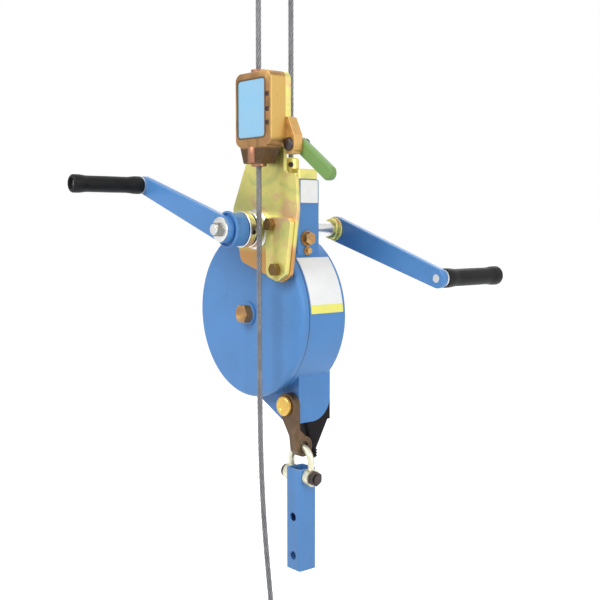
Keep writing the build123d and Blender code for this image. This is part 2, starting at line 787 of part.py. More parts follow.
# Rope grab: a housing with a label place in front, closed by a back plate, with two jaws inside
chin_z = grab_bottom - grab_chin
with BuildPart() as grab_body:
    with BuildSketch(across(grab_back)):
        with Locations((grab_x, grab_middle)):
            RectangleRounded(grab_width, grab_height, grab_round)
        with BuildLine():
            Polyline(
                (grab_left + chin_inset, grab_bottom + chin_overlap),
                (grab_right - chin_inset, grab_bottom + chin_overlap),
                (grab_rope_x + chin_half_width, chin_z),
                (grab_rope_x - chin_half_width, chin_z),
                close=True,
            )
        make_face()
    extrude(amount=grab_depth)
    fillet(grab_body.faces().sort_by(Axis.Y)[0].outer_wire().edges(), radius=grab_edge)
    with BuildSketch(across(grab_back)):
        with Locations((grab_x, grab_middle)):
            RectangleRounded(grab_width - 2 * grab_wall, grab_height - 2 * grab_wall, grab_round - grab_wall)
    extrude(amount=grab_depth - grab_wall - label_thick, mode=Mode.SUBTRACT)
    with BuildSketch(across(grab_front + label_thick)):
        with Locations((label_left + label_width / 2, label_bottom + label_height / 2)):
            RectangleRounded(label_width, label_height, grab_wall)
    extrude(amount=label_thick, mode=Mode.SUBTRACT)
    post(chin_z, grab_bottom + grab_wall, grab_bush_r, grab_rope_x, grab_rope_y, mode=Mode.SUBTRACT)
    post(grab_top - grab_wall, grab_top, grab_bush_r, grab_rope_x, grab_rope_y, mode=Mode.SUBTRACT)
    for height in grab_screw_heights:
        rod(grab_front, grab_front + grab_wall, grab_screw_r, grab_screw_x, height, mode=Mode.SUBTRACT)
pieces["grab_body"] = grab_body

with BuildPart() as grab_back_plate:
    with BuildSketch(across(plate_front)):
        with Locations((grab_x, grab_middle)):
            RectangleRounded(grab_width, grab_height, grab_round)
    extrude(amount=grab_back_thick)
pieces["grab_back_plate"] = grab_back_plate

with BuildPart() as grab_label:
    with BuildSketch(across(grab_front + label_thick)):
        with Locations((label_left + label_width / 2, label_bottom + label_height / 2)):
            RectangleRounded(label_width, label_height, grab_wall)
    extrude(amount=label_thick - label_recess)
pieces["grab_label"] = grab_label

with BuildPart() as grab_screws:
    for height in grab_screw_heights:
        rod(grab_front, grab_front + grab_wall, grab_screw_r, grab_screw_x, height)
        rod(grab_front - grab_screw_head, grab_front, grab_screw_head_r, grab_screw_x, height)
pieces["grab_screws"] = grab_screws

bush_lip_r = grab_bush_r + grab_bush_lip_width
with BuildPart() as grab_bushes:
    post(chin_z, grab_bottom + grab_wall, grab_bush_r, grab_rope_x, grab_rope_y)
    post(chin_z - grab_bush_lip, chin_z, bush_lip_r, grab_rope_x, grab_rope_y)
    post(grab_top - grab_wall, grab_top, grab_bush_r, grab_rope_x, grab_rope_y)
    post(grab_top, grab_top + grab_bush_lip, bush_lip_r, grab_rope_x, grab_rope_y)
    post(
        chin_z - grab_bush_lip, grab_top + grab_bush_lip, rope_hole_r, grab_rope_x, grab_rope_y,
        mode=Mode.SUBTRACT,
    )
pieces["grab_bushes"] = grab_bushes

jaw_back = grab_rope_y + jaw_thick / 2
with BuildPart() as jaw_pins:
    for way in (-1, 1):
        pin_x = grab_rope_x + way * jaw_pivot_out
        rod(grab_front + grab_wall + label_thick, grab_back, jaw_pin_r, pin_x, jaw_pivot_z)
pieces["jaw_pins"] = jaw_pins

for side, way in (("left", -1), ("right", 1)):
    pin_x = grab_rope_x + way * jaw_pivot_out
    nose_x = grab_rope_x + way * (rope_r + jaw_rope_gap)
    with BuildPart() as jaw:
        with BuildSketch(across(jaw_back)):
            with Locations((pin_x, jaw_pivot_z)):
                Circle(jaw_r)
            with BuildLine():
                Polyline(
                    (pin_x, jaw_pivot_z + jaw_r - jaw_shoulder),
                    (nose_x, jaw_pivot_z - jaw_nose_top),
                    (nose_x, jaw_pivot_z - jaw_nose_top - jaw_nose_height),
                    (pin_x, jaw_pivot_z - jaw_r),
                    close=True,
                )
            make_face()
            with Locations((pin_x, jaw_pivot_z)):
                Circle(jaw_pin_r + running_gap, mode=Mode.SUBTRACT)
        extrude(amount=jaw_thick)
    pieces[f"{side}_jaw"] = jaw

# Release lever on a lug beside the grab
lever_front = plate_back + side_gap
lever_back = lever_front + lever_thick + side_gap
with BuildPart() as lever_lug:
    with BuildSketch(across(plate_back)) as lug_outline:
        with BuildLine():
            Polyline(
                (grab_right, lug_bottom),
                (lug_right, lug_bottom),
                (lug_right, lug_shoulder),
                (grab_right + lug_tip, lug_top),
                (grab_right, lug_top),
                close=True,
            )
        make_face()
        fillet(lug_outline.vertices().group_by(Axis.X)[-1], radius=lug_round)
        tip_corner = lug_outline.vertices().group_by(Axis.Y)[-1].sort_by(Axis.X)[-1]
        fillet(tip_corner, radius=lug_tip_round)
    extrude(amount=plate_back - grab_back)
    rod(grab_back, plate_back, lever_pin_r, *lever_pivot, mode=Mode.SUBTRACT)
pieces["lever_lug"] = lever_lug

with BuildPart() as lever_pin:
    rod(grab_back - lever_pin_head, grab_back, lever_pin_head_r, *lever_pivot)
    rod(grab_back, lever_back, lever_pin_r, *lever_pivot)
    rod(lever_back, lever_back + lever_pin_tail, lever_pin_head_r, *lever_pivot)
pieces["lever_pin"] = lever_pin

lever_way = (math.cos(math.radians(lever_angle)), math.sin(math.radians(lever_angle)))
lever_end = (lever_pivot[0] + lever_length * lever_way[0], lever_pivot[1] + lever_length * lever_way[1])
with BuildPart() as lever_arm:
    with BuildSketch(across(lever_front + lever_thick)):
        with Locations(lever_pivot, lever_end):
            Circle(lever_width / 2)
        make_hull()
        with Locations(lever_pivot):
            Circle(lever_pin_r + running_gap, mode=Mode.SUBTRACT)
    extrude(amount=lever_thick)
    lever_rims = lever_arm.faces().sort_by(Axis.Y)[0].outer_wire().edges()
    lever_rims += lever_arm.faces().sort_by(Axis.Y)[-1].outer_wire().edges()
    fillet(lever_rims, radius=lever_edge)
pieces["lever_arm"] = lever_arm

# Neck fittings: bridge, rope inlet, plain plate, bolt, nut and the tag on the drum's side
with BuildPart() as top_bridge:
    block(
        bridge_left, neck_right - bridge_inset, neck_front + bridge_inset, neck_back - bridge_inset,
        neck_top, neck_top + bridge_height,
    )
    fillet(top_bridge.edges().filter_by(Axis.Z), radius=neck_round)
    fillet(top_bridge.edges().group_by(Axis.Z)[-1], radius=bridge_round)
    post(neck_top, neck_top + bridge_height, inlet_r, sheave_pitch_r, rope_depth, mode=Mode.SUBTRACT)
pieces["top_bridge"] = top_bridge

with BuildPart() as rope_inlet:
    post(neck_top - wall, neck_top, inlet_r - inlet_step, sheave_pitch_r, rope_depth)
    post(neck_top, neck_top + inlet_height, inlet_r, sheave_pitch_r, rope_depth)
    fillet(rope_inlet.edges().group_by(Axis.Z)[-1], radius=inlet_round)
    inlet_top = neck_top + inlet_height
    post(neck_top - wall, inlet_top, rope_hole_r, sheave_pitch_r, rope_depth, mode=Mode.SUBTRACT)
pieces["rope_inlet"] = rope_inlet

neck_plate_y = (neck_front + neck_back) / 2
with BuildPart() as neck_plate:
    with BuildSketch(facing(neck_right)):
        with Locations((neck_plate_y, neck_plate_z)):
            RectangleRounded(neck_plate_size, neck_plate_size, neck_plate_round)
    extrude(amount=neck_plate_thick)
pieces["neck_plate"] = neck_plate

with BuildPart() as neck_bolts:
    for bolt_y, bolt_z, head_r, head in neck_bolt_places:
        bar(neck_right, neck_right + neck_washer, head_r + neck_washer_margin, bolt_y, bolt_z)
        with BuildSketch(facing(neck_right + neck_washer)):
            with Locations((bolt_y, bolt_z)):
                RegularPolygon(head_r, 6)
        extrude(amount=head)
pieces["neck_bolts"] = neck_bolts

tag_back = drum_depth - tag_back_margin
with BuildPart() as drum_tag:
    with BuildSketch(across(tag_back)):
        with BuildLine():
            inner = CenterArc((0, 0), casing_r + face_gap, tag_start, tag_sweep)
            outer = CenterArc((0, 0), casing_r + face_gap + tag_thick, tag_start, tag_sweep)
            Line(inner @ 0, outer @ 0)
            Line(inner @ 1, outer @ 1)
        make_face()
    extrude(amount=tag_back - cover_depth - tag_front_margin)
pieces["drum_tag"] = drum_tag

# Hanger: a pin in the tail, a cranked link on it, a shackle and the tube it carries
with BuildPart() as hanger_pin:
    rod(hanger_front - hanger_head, hanger_front, hanger_head_r, hanger_pin_x, hanger_pin_z)
    rod(hanger_front, tail_front + wall + hanger_pin_tail, hanger_pin_r, hanger_pin_x, hanger_pin_z)
pieces["hanger_pin"] = hanger_pin

eye_front = hanger_front + hanger_eye_wall_gap
eye_back = tail_front - hanger_eye_wall_gap
link_left = link_x - link_thick / 2
link_right = link_x + link_thick / 2
with BuildPart() as hanger_link:
    with BuildSketch(facing(hanger_pin_x - hanger_eye_r)):
        with BuildLine():
            Polyline(
                (eye_front, hanger_pin_z),
                (eye_back, hanger_pin_z),
                (eye_back, tail_bottom - link_under_tail),
                (link_y + link_eye_r - link_shoulder / 2, link_z + link_shoulder),
                (link_y, link_z),
                (link_y - link_eye_r, link_z),
                (eye_front, tail_bottom + link_shoulder),
                close=True,
            )
        make_face()
    extrude(amount=2 * hanger_eye_r)
    with BuildSketch(across(eye_front)):
        with BuildLine():
            Polyline(
                (hanger_pin_x - hanger_eye_r, hanger_pin_z),
                (hanger_pin_x + hanger_eye_r, hanger_pin_z),
                (link_right, link_z + link_eye_r),
                (link_right, link_z - link_eye_r),
                (link_left, link_z - link_eye_r),
                (link_left, link_z + link_eye_r),
                close=True,
            )
        make_face()
    extrude(amount=-(link_y + link_eye_r - eye_front), mode=Mode.INTERSECT)
    rod(eye_front, eye_back, hanger_eye_r, hanger_pin_x, hanger_pin_z)
    bar(link_left, link_right, link_eye_r, link_y, link_z)
    rod(eye_front, eye_back, hanger_pin_r + running_gap, hanger_pin_x, hanger_pin_z, mode=Mode.SUBTRACT)
    bar(link_left, link_right, link_hole_r, link_y, link_z, mode=Mode.SUBTRACT)
pieces["hanger_link"] = hanger_link

bow_inner_r = bow_half_width - bow_bar_r
bow_sag = bow_inner_r - math.sqrt(bow_inner_r ** 2 - (link_thick / 2) ** 2)
crown_z = link_z - link_hole_r + bow_bar_r + bow_sag + side_gap
bow_left = link_x - bow_half_width
bow_right = link_x + bow_half_width
with BuildPart() as shackle_bow:
    with BuildLine():
        Line(spot(bow_left, link_y, shackle_pin_z), spot(bow_left, link_y, crown_z - bow_half_width))
        ThreePointArc(
            spot(bow_left, link_y, crown_z - bow_half_width),
            spot(link_x, link_y, crown_z),
            spot(bow_right, link_y, crown_z - bow_half_width),
        )
        Line(spot(bow_right, link_y, crown_z - bow_half_width), spot(bow_right, link_y, shackle_pin_z))
    with BuildSketch(level(shackle_pin_z)):
        with Locations((bow_left, link_y)):
            Circle(bow_bar_r)
    sweep()
    for eye_x in (bow_left, bow_right):
        bar(
            eye_x - shackle_eye_thick / 2, eye_x + shackle_eye_thick / 2, shackle_eye_r,
            link_y, shackle_pin_z,
        )
        bar(
            eye_x - shackle_eye_thick, eye_x + shackle_eye_thick, shackle_pin_r, link_y, shackle_pin_z,
            mode=Mode.SUBTRACT,
        )
pieces["shackle_bow"] = shackle_bow

eye_left = bow_left - shackle_eye_thick / 2
eye_right = bow_right + shackle_eye_thick / 2
with BuildPart() as shackle_pin:
    bar(eye_left - shackle_head, eye_left, shackle_head_r, link_y, shackle_pin_z)
    bar(eye_left, eye_right + shackle_head + shackle_thread_end, shackle_pin_r, link_y, shackle_pin_z)
pieces["shackle_pin"] = shackle_pin

with BuildPart() as shackle_nut:
    with BuildSketch(facing(eye_right)):
        with Locations((link_y, shackle_pin_z)):
            RegularPolygon(shackle_nut_r, 6)
            Circle(shackle_pin_r, mode=Mode.SUBTRACT)
    extrude(amount=shackle_head)
pieces["shackle_nut"] = shackle_nut

tube_top = shackle_pin_z + tube_above_pin
tube_bore = tube_size - 2 * tube_wall
with BuildPart() as stirrup_tube:
    with BuildSketch(level(tube_end)):
        with Locations((link_x, link_y)):
            RectangleRounded(tube_size, tube_size, tube_round)
            RectangleRounded(tube_bore, tube_bore, tube_inner_round, mode=Mode.SUBTRACT)
    extrude(amount=tube_top - tube_end)
    bar(
        link_x - tube_size, link_x + tube_size, shackle_pin_r + side_gap, link_y, shackle_pin_z,
        mode=Mode.SUBTRACT,
    )
    for step in (0, 1):
        hole_z = tube_end + tube_hole_margin + step * tube_hole_spacing
        rod(link_y - tube_size, link_y + tube_size, tube_hole_r, link_x, hole_z, mode=Mode.SUBTRACT)
pieces["stirrup_tube"] = stirrup_tube

# Rope outlet boot: a rubber cup under the tail that tapers to a stem round the rope
stem_top = boot_bottom + boot_stem
with BuildPart() as rope_boot:
    with BuildSketch(level(tail_bottom)):
        with Locations(((boot_left + neck_right) / 2, (boot_front + drum_depth) / 2)):
            RectangleRounded(neck_right - boot_left, drum_depth - boot_front, boot_round)
    with BuildSketch(level(stem_top)):
        with Locations((outlet_x, outlet_y)):
            Circle(boot_stem_r)
    loft()
    post(boot_bottom, stem_top, boot_stem_r, outlet_x, outlet_y)
    block(boot_left, neck_right, drum_depth - tail_round, drum_depth, tail_bottom, tail_bottom + tail_round)
    add(tail_block.part, mode=Mode.SUBTRACT)
    with BuildSketch(level(tail_bottom + boot_mouth)):
        with Locations((outlet_hole_x, outlet_hole_y)):
            Circle(outlet_hole_r)
    with BuildSketch(level(stem_top)):
        with Locations((outlet_x, outlet_y)):
            Circle(rope_hole_r)
    loft(mode=Mode.SUBTRACT)
    post(boot_bottom, stem_top, rope_hole_r, outlet_x, outlet_y, mode=Mode.SUBTRACT)
pieces["rope_boot"] = rope_boot


# Ropes
def corner_radii(points):
    """The largest arcs that fit the runs of a route, 0.45 of the shorter run at each corner."""
    radii = []
    for before, corner, after in zip(points, points[1:], points[2:]):
        first = corner - before
        second = after - corner
        half_turn = math.radians(first.get_angle(second)) / 2
        radii.append(0.45 * min(first.length, second.length) / math.tan(half_turn))
    return radii


def two_arcs(start, start_way, end, end_way):
    """Two arcs that leave one point and reach another along given directions."""
    span = end - start
    ways = start_way + end_way
    square = ways.dot(ways) - 4
    cross = -2 * span.dot(ways)
    rest = span.dot(span)
    reach = (-cross - math.sqrt(cross * cross - 4 * square * rest)) / (2 * square)
    if reach < 0:
        reach = (-cross + math.sqrt(cross * cross - 4 * square * rest)) / (2 * square)
    first = start + start_way * reach
    last = end - end_way * reach
    joint = (first + last) * 0.5
    TangentArc(start, joint, tangent=start_way)
    TangentArc(joint, end, tangent=(last - first).normalized())


ferrule_top = -ferrule_below_eye
ferrule_bottom = ferrule_top - ferrule_length
leg_offset = rope_r + eye_leg_gap / 2
eye_pitch_r = thimble_seat_r + rope_r
thimble_outer_r = thimble_seat_r + thimble_flange
eye_places = {"main": Vector(0, 0, 0), "safety": spot(grab_rope_x, grab_rope_y, eye_above_axle)}

for rope, centre in eye_places.items():
    with BuildPart() as thimble:
        with BuildSketch(Plane(origin=centre)):
            with BuildLine():
                edge = thimble_width / 2
                seat = thimble_seat_r - rope_play
                Polyline(
                    (thimble_bore_r, -edge),
                    (thimble_outer_r, -edge),
                    (thimble_outer_r, -edge + thimble_lip),
                    (seat, -rope_r),
                    (seat, rope_r),
                    (thimble_outer_r, edge - thimble_lip),
                    (thimble_outer_r, edge),
                    (thimble_bore_r, edge),
                    close=True,
                )
            make_face()
        revolve(axis=Axis(centre, (0, 1, 0)))
    pieces[f"{rope}_thimble"] = thimble

# Each eye's loop leaves the ferrule upright, swings out to the thimble, round it and back
foot_z = ferrule_top + face_gap
lead_r = (leg_offset ** 2 + foot_z ** 2 - eye_pitch_r ** 2) / (2 * (eye_pitch_r - leg_offset))
touch_share = eye_pitch_r / (eye_pitch_r + lead_r)
touch_x = touch_share * (leg_offset + lead_r)
touch_z = touch_share * foot_z
with BuildPart() as eye_loops:
    for centre in eye_places.values():
        right_foot = centre + Vector(leg_offset, 0, foot_z)
        with BuildLine():
            lead = TangentArc(right_foot, centre + Vector(touch_x, 0, touch_z), tangent=(0, 0, 1))
            over = ThreePointArc(
                lead @ 1, centre + Vector(0, 0, eye_pitch_r), centre + Vector(-touch_x, 0, touch_z),
            )
            TangentArc(over @ 1, centre + Vector(-leg_offset, 0, foot_z), tangent=over % 1)
        with BuildSketch(Plane(origin=right_foot)):
            Circle(rope_r)
        sweep()
pieces["eye_loops"] = eye_loops

with BuildPart() as rope_ferrules:
    for centre in eye_places.values():
        with BuildSketch(Plane(origin=centre + Vector(0, 0, ferrule_bottom))):
            SlotCenterToCenter(2 * leg_offset, 2 * (rope_r + ferrule_wall))
        extrude(amount=ferrule_length)
    fillet(rope_ferrules.edges().group_by(Axis.Z)[0], radius=ferrule_round)
pieces["rope_ferrules"] = rope_ferrules

# The main rope comes straight down, takes one turn round the sheave and leaves through the tail
wrap_share = (0.0, 0.16, 0.5, 0.84, 1.0)
wrap_slope = rope_shift * 0.34 / (math.pi / 2 * sheave_pitch_r)
wrap_knots = []
for quarter, share in enumerate(wrap_share):
    turn = -quarter * math.pi / 2
    sideways = wrap_slope if 0 < quarter < 4 else 0.0
    place = spot(
        sheave_pitch_r * math.cos(turn), rope_depth + share * rope_shift, sheave_pitch_r * math.sin(turn),
    )
    wrap_knots.append((place, Vector(math.sin(turn), sideways, -math.cos(turn)).normalized()))

tail_points = [
    spot(sheave_pitch_r, rope_depth + rope_shift, 0),
    spot(sheave_pitch_r, rope_depth + rope_shift, -105),
    spot(outlet_x, outlet_y, -185),
    spot(outlet_x, outlet_y, rope_tail_end),
]
main_foot = Vector(0, 0, ferrule_bottom)
with BuildPart() as main_rope:
    with BuildLine() as main_path:
        Line(main_foot, wrap_knots[0][0])
        for (start, start_way), (end, end_way) in zip(wrap_knots, wrap_knots[1:]):
            two_arcs(start, start_way, end, end_way)
        FilletPolyline(*tail_points, radius=corner_radii(tail_points))
    with BuildSketch(Plane(origin=main_foot, z_dir=(0, 0, -1))):
        Circle(rope_r)
    sweep()
pieces["main_rope"] = main_rope

# The safety rope runs straight through the grab, and its free tail drifts sideways
safety_points = [
    eye_places["safety"] + main_foot,
    spot(grab_rope_x, grab_rope_y, -110),
    spot(grab_rope_x + 3, grab_rope_y, -225),
    spot(grab_rope_x + 12, grab_rope_y, -332),
    spot(grab_rope_x + 28, grab_rope_y, -437),
]
with BuildPart() as safety_rope:
    with BuildLine() as safety_path:
        FilletPolyline(*safety_points, radius=corner_radii(safety_points))
    with BuildSketch(Plane(origin=safety_points[0], z_dir=(0, 0, -1))):
        Circle(rope_r)
    sweep()
pieces["safety_rope"] = safety_rope

for name, piece, path, points in (
    ("main", main_rope, main_path, tail_points),
    ("safety", safety_rope, safety_path, safety_points),
):
    length = path.wires()[0].length
    share = piece.part.volume / (math.pi * rope_r ** 2 * length)
    radii = [round(radius) for radius in corner_radii(points)]
    print(name, "rope: length", round(length), "volume share", round(share, 4), "bend radii", radii)

with BuildPart() as rope_tips:
    for points in (tail_points, safety_points):
        with BuildSketch(Plane(origin=points[-1], z_dir=points[-1] - points[-2])):
            Circle(tip_r)
        extrude(amount=tip_length)
pieces["rope_tips"] = rope_tips

for name, piece in pieces.items():
    piece.part.label = name
    export_step(piece.part, f"parts/{name}.step")
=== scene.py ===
"""Dresses a hand-cranked scaffold hoist with finishes, ropes, fasteners and trim, and sets its stage."""

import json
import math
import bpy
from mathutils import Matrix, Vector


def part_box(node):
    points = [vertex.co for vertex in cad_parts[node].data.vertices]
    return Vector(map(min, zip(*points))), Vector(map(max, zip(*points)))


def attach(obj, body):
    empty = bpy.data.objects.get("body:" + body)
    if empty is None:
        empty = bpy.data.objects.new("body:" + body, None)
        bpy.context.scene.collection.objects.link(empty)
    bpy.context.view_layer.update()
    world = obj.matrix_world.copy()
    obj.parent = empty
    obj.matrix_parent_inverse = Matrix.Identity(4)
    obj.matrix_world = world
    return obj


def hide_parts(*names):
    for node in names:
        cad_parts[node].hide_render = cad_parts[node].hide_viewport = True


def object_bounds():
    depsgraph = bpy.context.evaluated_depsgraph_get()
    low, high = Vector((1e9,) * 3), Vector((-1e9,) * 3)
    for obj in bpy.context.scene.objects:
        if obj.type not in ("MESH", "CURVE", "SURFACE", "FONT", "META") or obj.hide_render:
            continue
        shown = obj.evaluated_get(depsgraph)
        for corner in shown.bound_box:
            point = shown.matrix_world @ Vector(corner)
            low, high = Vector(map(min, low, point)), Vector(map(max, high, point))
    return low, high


bl_info = {
    "name": "Scaffold Hoist",
    "version": (1, 0, 0),
    "blender": (4, 5, 0),
    "location": "View3D > Sidebar > Hoist",
    "description": "Dresses a hand-cranked scaffold hoist and sets its stage",
    "category": "Object",
}

from typing import NamedTuple

import bmesh
import bpy
from mathutils import Matrix, Vector

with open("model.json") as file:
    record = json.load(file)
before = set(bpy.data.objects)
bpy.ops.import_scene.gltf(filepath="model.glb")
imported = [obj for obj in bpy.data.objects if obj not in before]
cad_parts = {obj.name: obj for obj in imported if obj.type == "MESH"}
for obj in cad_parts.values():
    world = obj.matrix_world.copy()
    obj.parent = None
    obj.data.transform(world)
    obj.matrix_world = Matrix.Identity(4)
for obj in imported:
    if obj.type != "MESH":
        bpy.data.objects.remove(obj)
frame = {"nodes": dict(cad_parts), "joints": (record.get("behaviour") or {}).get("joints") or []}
cad_low, cad_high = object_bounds()

MM = 0.001
FRONT = Vector((0, -1, 0))
BACK = Vector((0, 1, 0))
RIGHT = Vector((1, 0, 0))
UP = Vector((0, 0, 1))
joint_places = {joint["name"]: Vector(joint["pos_m"]) for joint in frame["joints"]}
axle = joint_places["sheave_spin"]
crank = joint_places["crank_spin"]
cover_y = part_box("front_cover")[0].y
grab_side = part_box("grab_body")[1].x
tag_low, tag_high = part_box("drum_tag")


def at(x, y, z):
    """A place in millimetres from the axle and the cover's face, as a point of the frame in metres."""
    return Vector((axle.x + x * MM, cover_y + y * MM, axle.z + z * MM))


def on_crank(y):
    """A place on the crank's axis, in millimetres behind the cover's face."""
    return Vector((crank.x, cover_y + y * MM, crank.z))


def length_along_y(node):
    """A frame node's length along Y in millimetres."""
    low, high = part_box(node)
    return (high.y - low.y) / MM


# Settings that a user would change

def colour_setting(name, words, default):
    """A colour setting with its name, its description and its default."""
    return bpy.props.FloatVectorProperty(
        name=name, description=words, subtype="COLOR", size=3, min=0.0, max=1.0, default=default,
    )


def length_setting(name, words, default):
    """A length setting in metres."""
    return bpy.props.FloatProperty(
        name=name, description=words, default=default, min=0.0, precision=4,
        subtype="DISTANCE", unit="LENGTH",
    )


class HoistFinishes(bpy.types.PropertyGroup):
    """Colours of the hoist's finishes."""

    casing_blue: colour_setting("Casing blue", "Enamel of casing, cranks and tube", (0.084, 0.252, 0.565))
    plate_gold: colour_setting("Plate gold", "Yellow zinc of the carrier plate", (0.740, 0.670, 0.205))
    plate_olive: colour_setting("Plate olive", "Greener patches of yellow zinc", (0.560, 0.570, 0.185))
    plate_rose: colour_setting("Plate rose", "Redder patches of yellow zinc", (0.740, 0.490, 0.240))
    # Painted shade: the brown that darkens the carrier plate's foot
    plate_foot_shade: colour_setting("Plate foot shade", "Foot of the carrier plate", (0.560, 0.290, 0.095))
    housing_bronze: colour_setting("Housing bronze", "Dark zinc of the rope grab", (0.385, 0.205, 0.076))
    housing_gold: colour_setting("Housing gold", "Lighter patches of the grab", (0.650, 0.385, 0.128))
    housing_side: colour_setting("Housing side", "Polished side of the grab", (0.555, 0.355, 0.100))
    bright_zinc: colour_setting("Bright zinc", "Washers, collar and nuts", (0.800, 0.800, 0.780))
    lever_green: colour_setting("Lever green", "Enamel of the release lever", (0.176, 0.324, 0.088))
    label_blue: colour_setting("Label blue", "Plain film on the rope grab", (0.262, 0.548, 0.783))
    tag_white: colour_setting("Tag white", "Plain plates on neck and drum", (0.930, 0.930, 0.910))
    tag_yellow: colour_setting("Tag yellow", "Lower band of the drum's plate", (0.930, 0.885, 0.170))
    rope_grey: colour_setting("Rope grey", "Galvanised wire", (0.250, 0.250, 0.260))


class HoistSizes(bpy.types.PropertyGroup):
    """Sizes of what is added to the frame."""

    rope_diameter: length_setting("Rope diameter", "Outside of the wire ropes", 0.008)
    rope_lay: length_setting("Rope lay", "Length of one turn of a strand", 0.052)
    rope_step: length_setting("Rope step", "Spacing of the strands' rings", 0.0035)
    strand_count: bpy.props.IntProperty(
        name="Strands", description="Strands laid round the rope's core", default=6, min=3, max=12,
    )
    edge_round: length_setting("Edge round", "Rounding of the plates' edges", 0.0007)
    film_round: length_setting("Film round", "Rounding of the labels' edges", 0.0003)


def sizes():
    return bpy.context.scene.hoist_sizes


# Nodes and shader effects

def place(tree, kind, inputs=None, **settings):
    """Add a node with its settings, and link or set its inputs by name or number."""
    node = tree.nodes.new(kind)
    for name, value in settings.items():
        setattr(node, name, value)
    for key, value in (inputs or {}).items():
        if isinstance(value, bpy.types.NodeSocket):
            tree.links.new(value, node.inputs[key])
        else:
            node.inputs[key].default_value = value
    return node


def result(tree, kind, inputs=None, output=0, **settings):
    """Add a node as place does, and give one of its outputs."""
    return place(tree, kind, inputs, **settings).outputs[output]


def math_node(tree, operation, first, second=0.0):
    return result(tree, "ShaderNodeMath", {0: first, 1: second}, operation=operation)


def mix_colour(tree, mask, first, second):
    """Mix by the colour sockets of the Mix node, which are its inputs 6 and 7 and its output 2."""
    return result(tree, "ShaderNodeMix", {0: mask, 6: first, 7: second}, 2, data_type="RGBA")


def mix_value(tree, mask, first, second):
    """Mix by the number sockets of the Mix node, which are its inputs 2 and 3 and its output 0."""
    return result(tree, "ShaderNodeMix", {0: mask, 2: first, 3: second}, data_type="FLOAT")


def spread(tree, value, low, high):
    """Stretch the values between low and high to 0 to 1, smoothly."""
    inputs = {"Value": value, "From Min": low, "From Max": high}
    return result(tree, "ShaderNodeMapRange", inputs, "Result", interpolation_type="SMOOTHSTEP")


def object_place(tree):
    return result(tree, "ShaderNodeTexCoord", output="Object")


def along(tree, axis):
    """The place along one axis of the object."""
    return result(tree, "ShaderNodeSeparateXYZ", {0: object_place(tree)}, axis)


def noise(tree, scale, detail=2.0, rough=0.5, distort=0.0, vector=None):
    return result(tree, "ShaderNodeTexNoise", {
        "Vector": vector or object_place(tree), "Scale": scale, "Detail": detail,
        "Roughness": rough, "Distortion": distort,
    }, "Fac")


def titled(values):
    """Values by the names of their sockets."""
    return {name.replace("_", " ").capitalize(): value for name, value in values.items()}


def effect(name, output, **inputs):
    """Turn a function that builds nodes into one that places them as a node group, made on first use."""
    def wrap(build):
        def make():
            group = bpy.data.node_groups.new(name, "ShaderNodeTree")
            for label, default in titled(inputs).items():
                socket = group.interface.new_socket(label, in_out="INPUT", socket_type="NodeSocketFloat")
                socket.default_value = default
            group.interface.new_socket(output, in_out="OUTPUT", socket_type="NodeSocketFloat")
            built = build(group, group.nodes.new("NodeGroupInput").outputs)
            place(group, "NodeGroupOutput", {output: built})
            return group

        def use(tree, **values):
            group = bpy.data.node_groups.get(name) or make()
            return result(tree, "ShaderNodeGroup", titled(values), node_tree=group)

        return use

    return wrap


@effect("Edge wear", "Mask", amount=0.7, patches=90.0)
def edge_wear(tree, source):
    """Rubbed edges: follows the rounded edges that a piece marks, broken up in patches."""
    edge = result(tree, "ShaderNodeAttribute", output="Fac", attribute_name="edge")
    rubbed = spread(tree, noise(tree, source["Patches"], 4.0, 0.6), 0.42, 0.62)
    line = math_node(tree, "MULTIPLY", spread(tree, edge, 0.25, 0.85), rubbed)
    return math_node(tree, "MULTIPLY", line, source["Amount"])


@effect("Mottle", "Mask", scale=18.0)
def mottle(tree, source):
    """Soft uneven patches, large ones with smaller ones in them."""
    return spread(tree, noise(tree, source["Scale"], 5.0, 0.6, 0.4), 0.34, 0.68)


@effect("Scuffs", "Mask", amount=0.3)
def scuffs(tree, source):
    """Fine scratches and specks left by handling."""
    stretched = result(tree, "ShaderNodeMapping", {
        "Vector": object_place(tree), "Scale": (70.0, 70.0, 1500.0), "Rotation": (0.5, 0.35, 0.8),
    })
    lines = spread(tree, noise(tree, 1.0, distort=0.3, vector=stretched), 0.66, 0.74)
    specks = spread(tree, noise(tree, 260.0), 0.70, 0.78)
    where = spread(tree, noise(tree, 14.0), 0.45, 0.65)
    marks = math_node(tree, "MAXIMUM", math_node(tree, "MULTIPLY", lines, where), specks)
    return math_node(tree, "MULTIPLY", marks, source["Amount"])


@effect("Skin grain", "Height", scale=900.0)
def skin_grain(tree, source):
    """Fine unevenness of a coated or cast skin, as a height."""
    wave_scale = math_node(tree, "MULTIPLY", source["Scale"], 0.12)
    return mix_value(tree, 0.45, noise(tree, source["Scale"]), noise(tree, wave_scale))


@effect("Brush lines", "Mask", along_x=30.0, along_y=1500.0, along_z=30.0)
def brush_lines(tree, source):
    """Fine lines of turned or brushed metal, drawn across the axis that has the large stretch."""
    stretch = result(tree, "ShaderNodeCombineXYZ", {
        0: source["Along x"], 1: source["Along y"], 2: source["Along z"],
    })
    mapped = result(tree, "ShaderNodeMapping", {"Vector": object_place(tree), "Scale": stretch})
    return spread(tree, noise(tree, 1.0, 4.0, 0.6, vector=mapped), 0.3, 0.7)


# Finishes

COAT_ROUGHNESS = 0.18


def rgba(colour, shade=1.0):
    return (*(min(part * shade, 1.0) for part in colour), 1.0)


def shaded(colour, share):
    return tuple(part * share for part in colour)


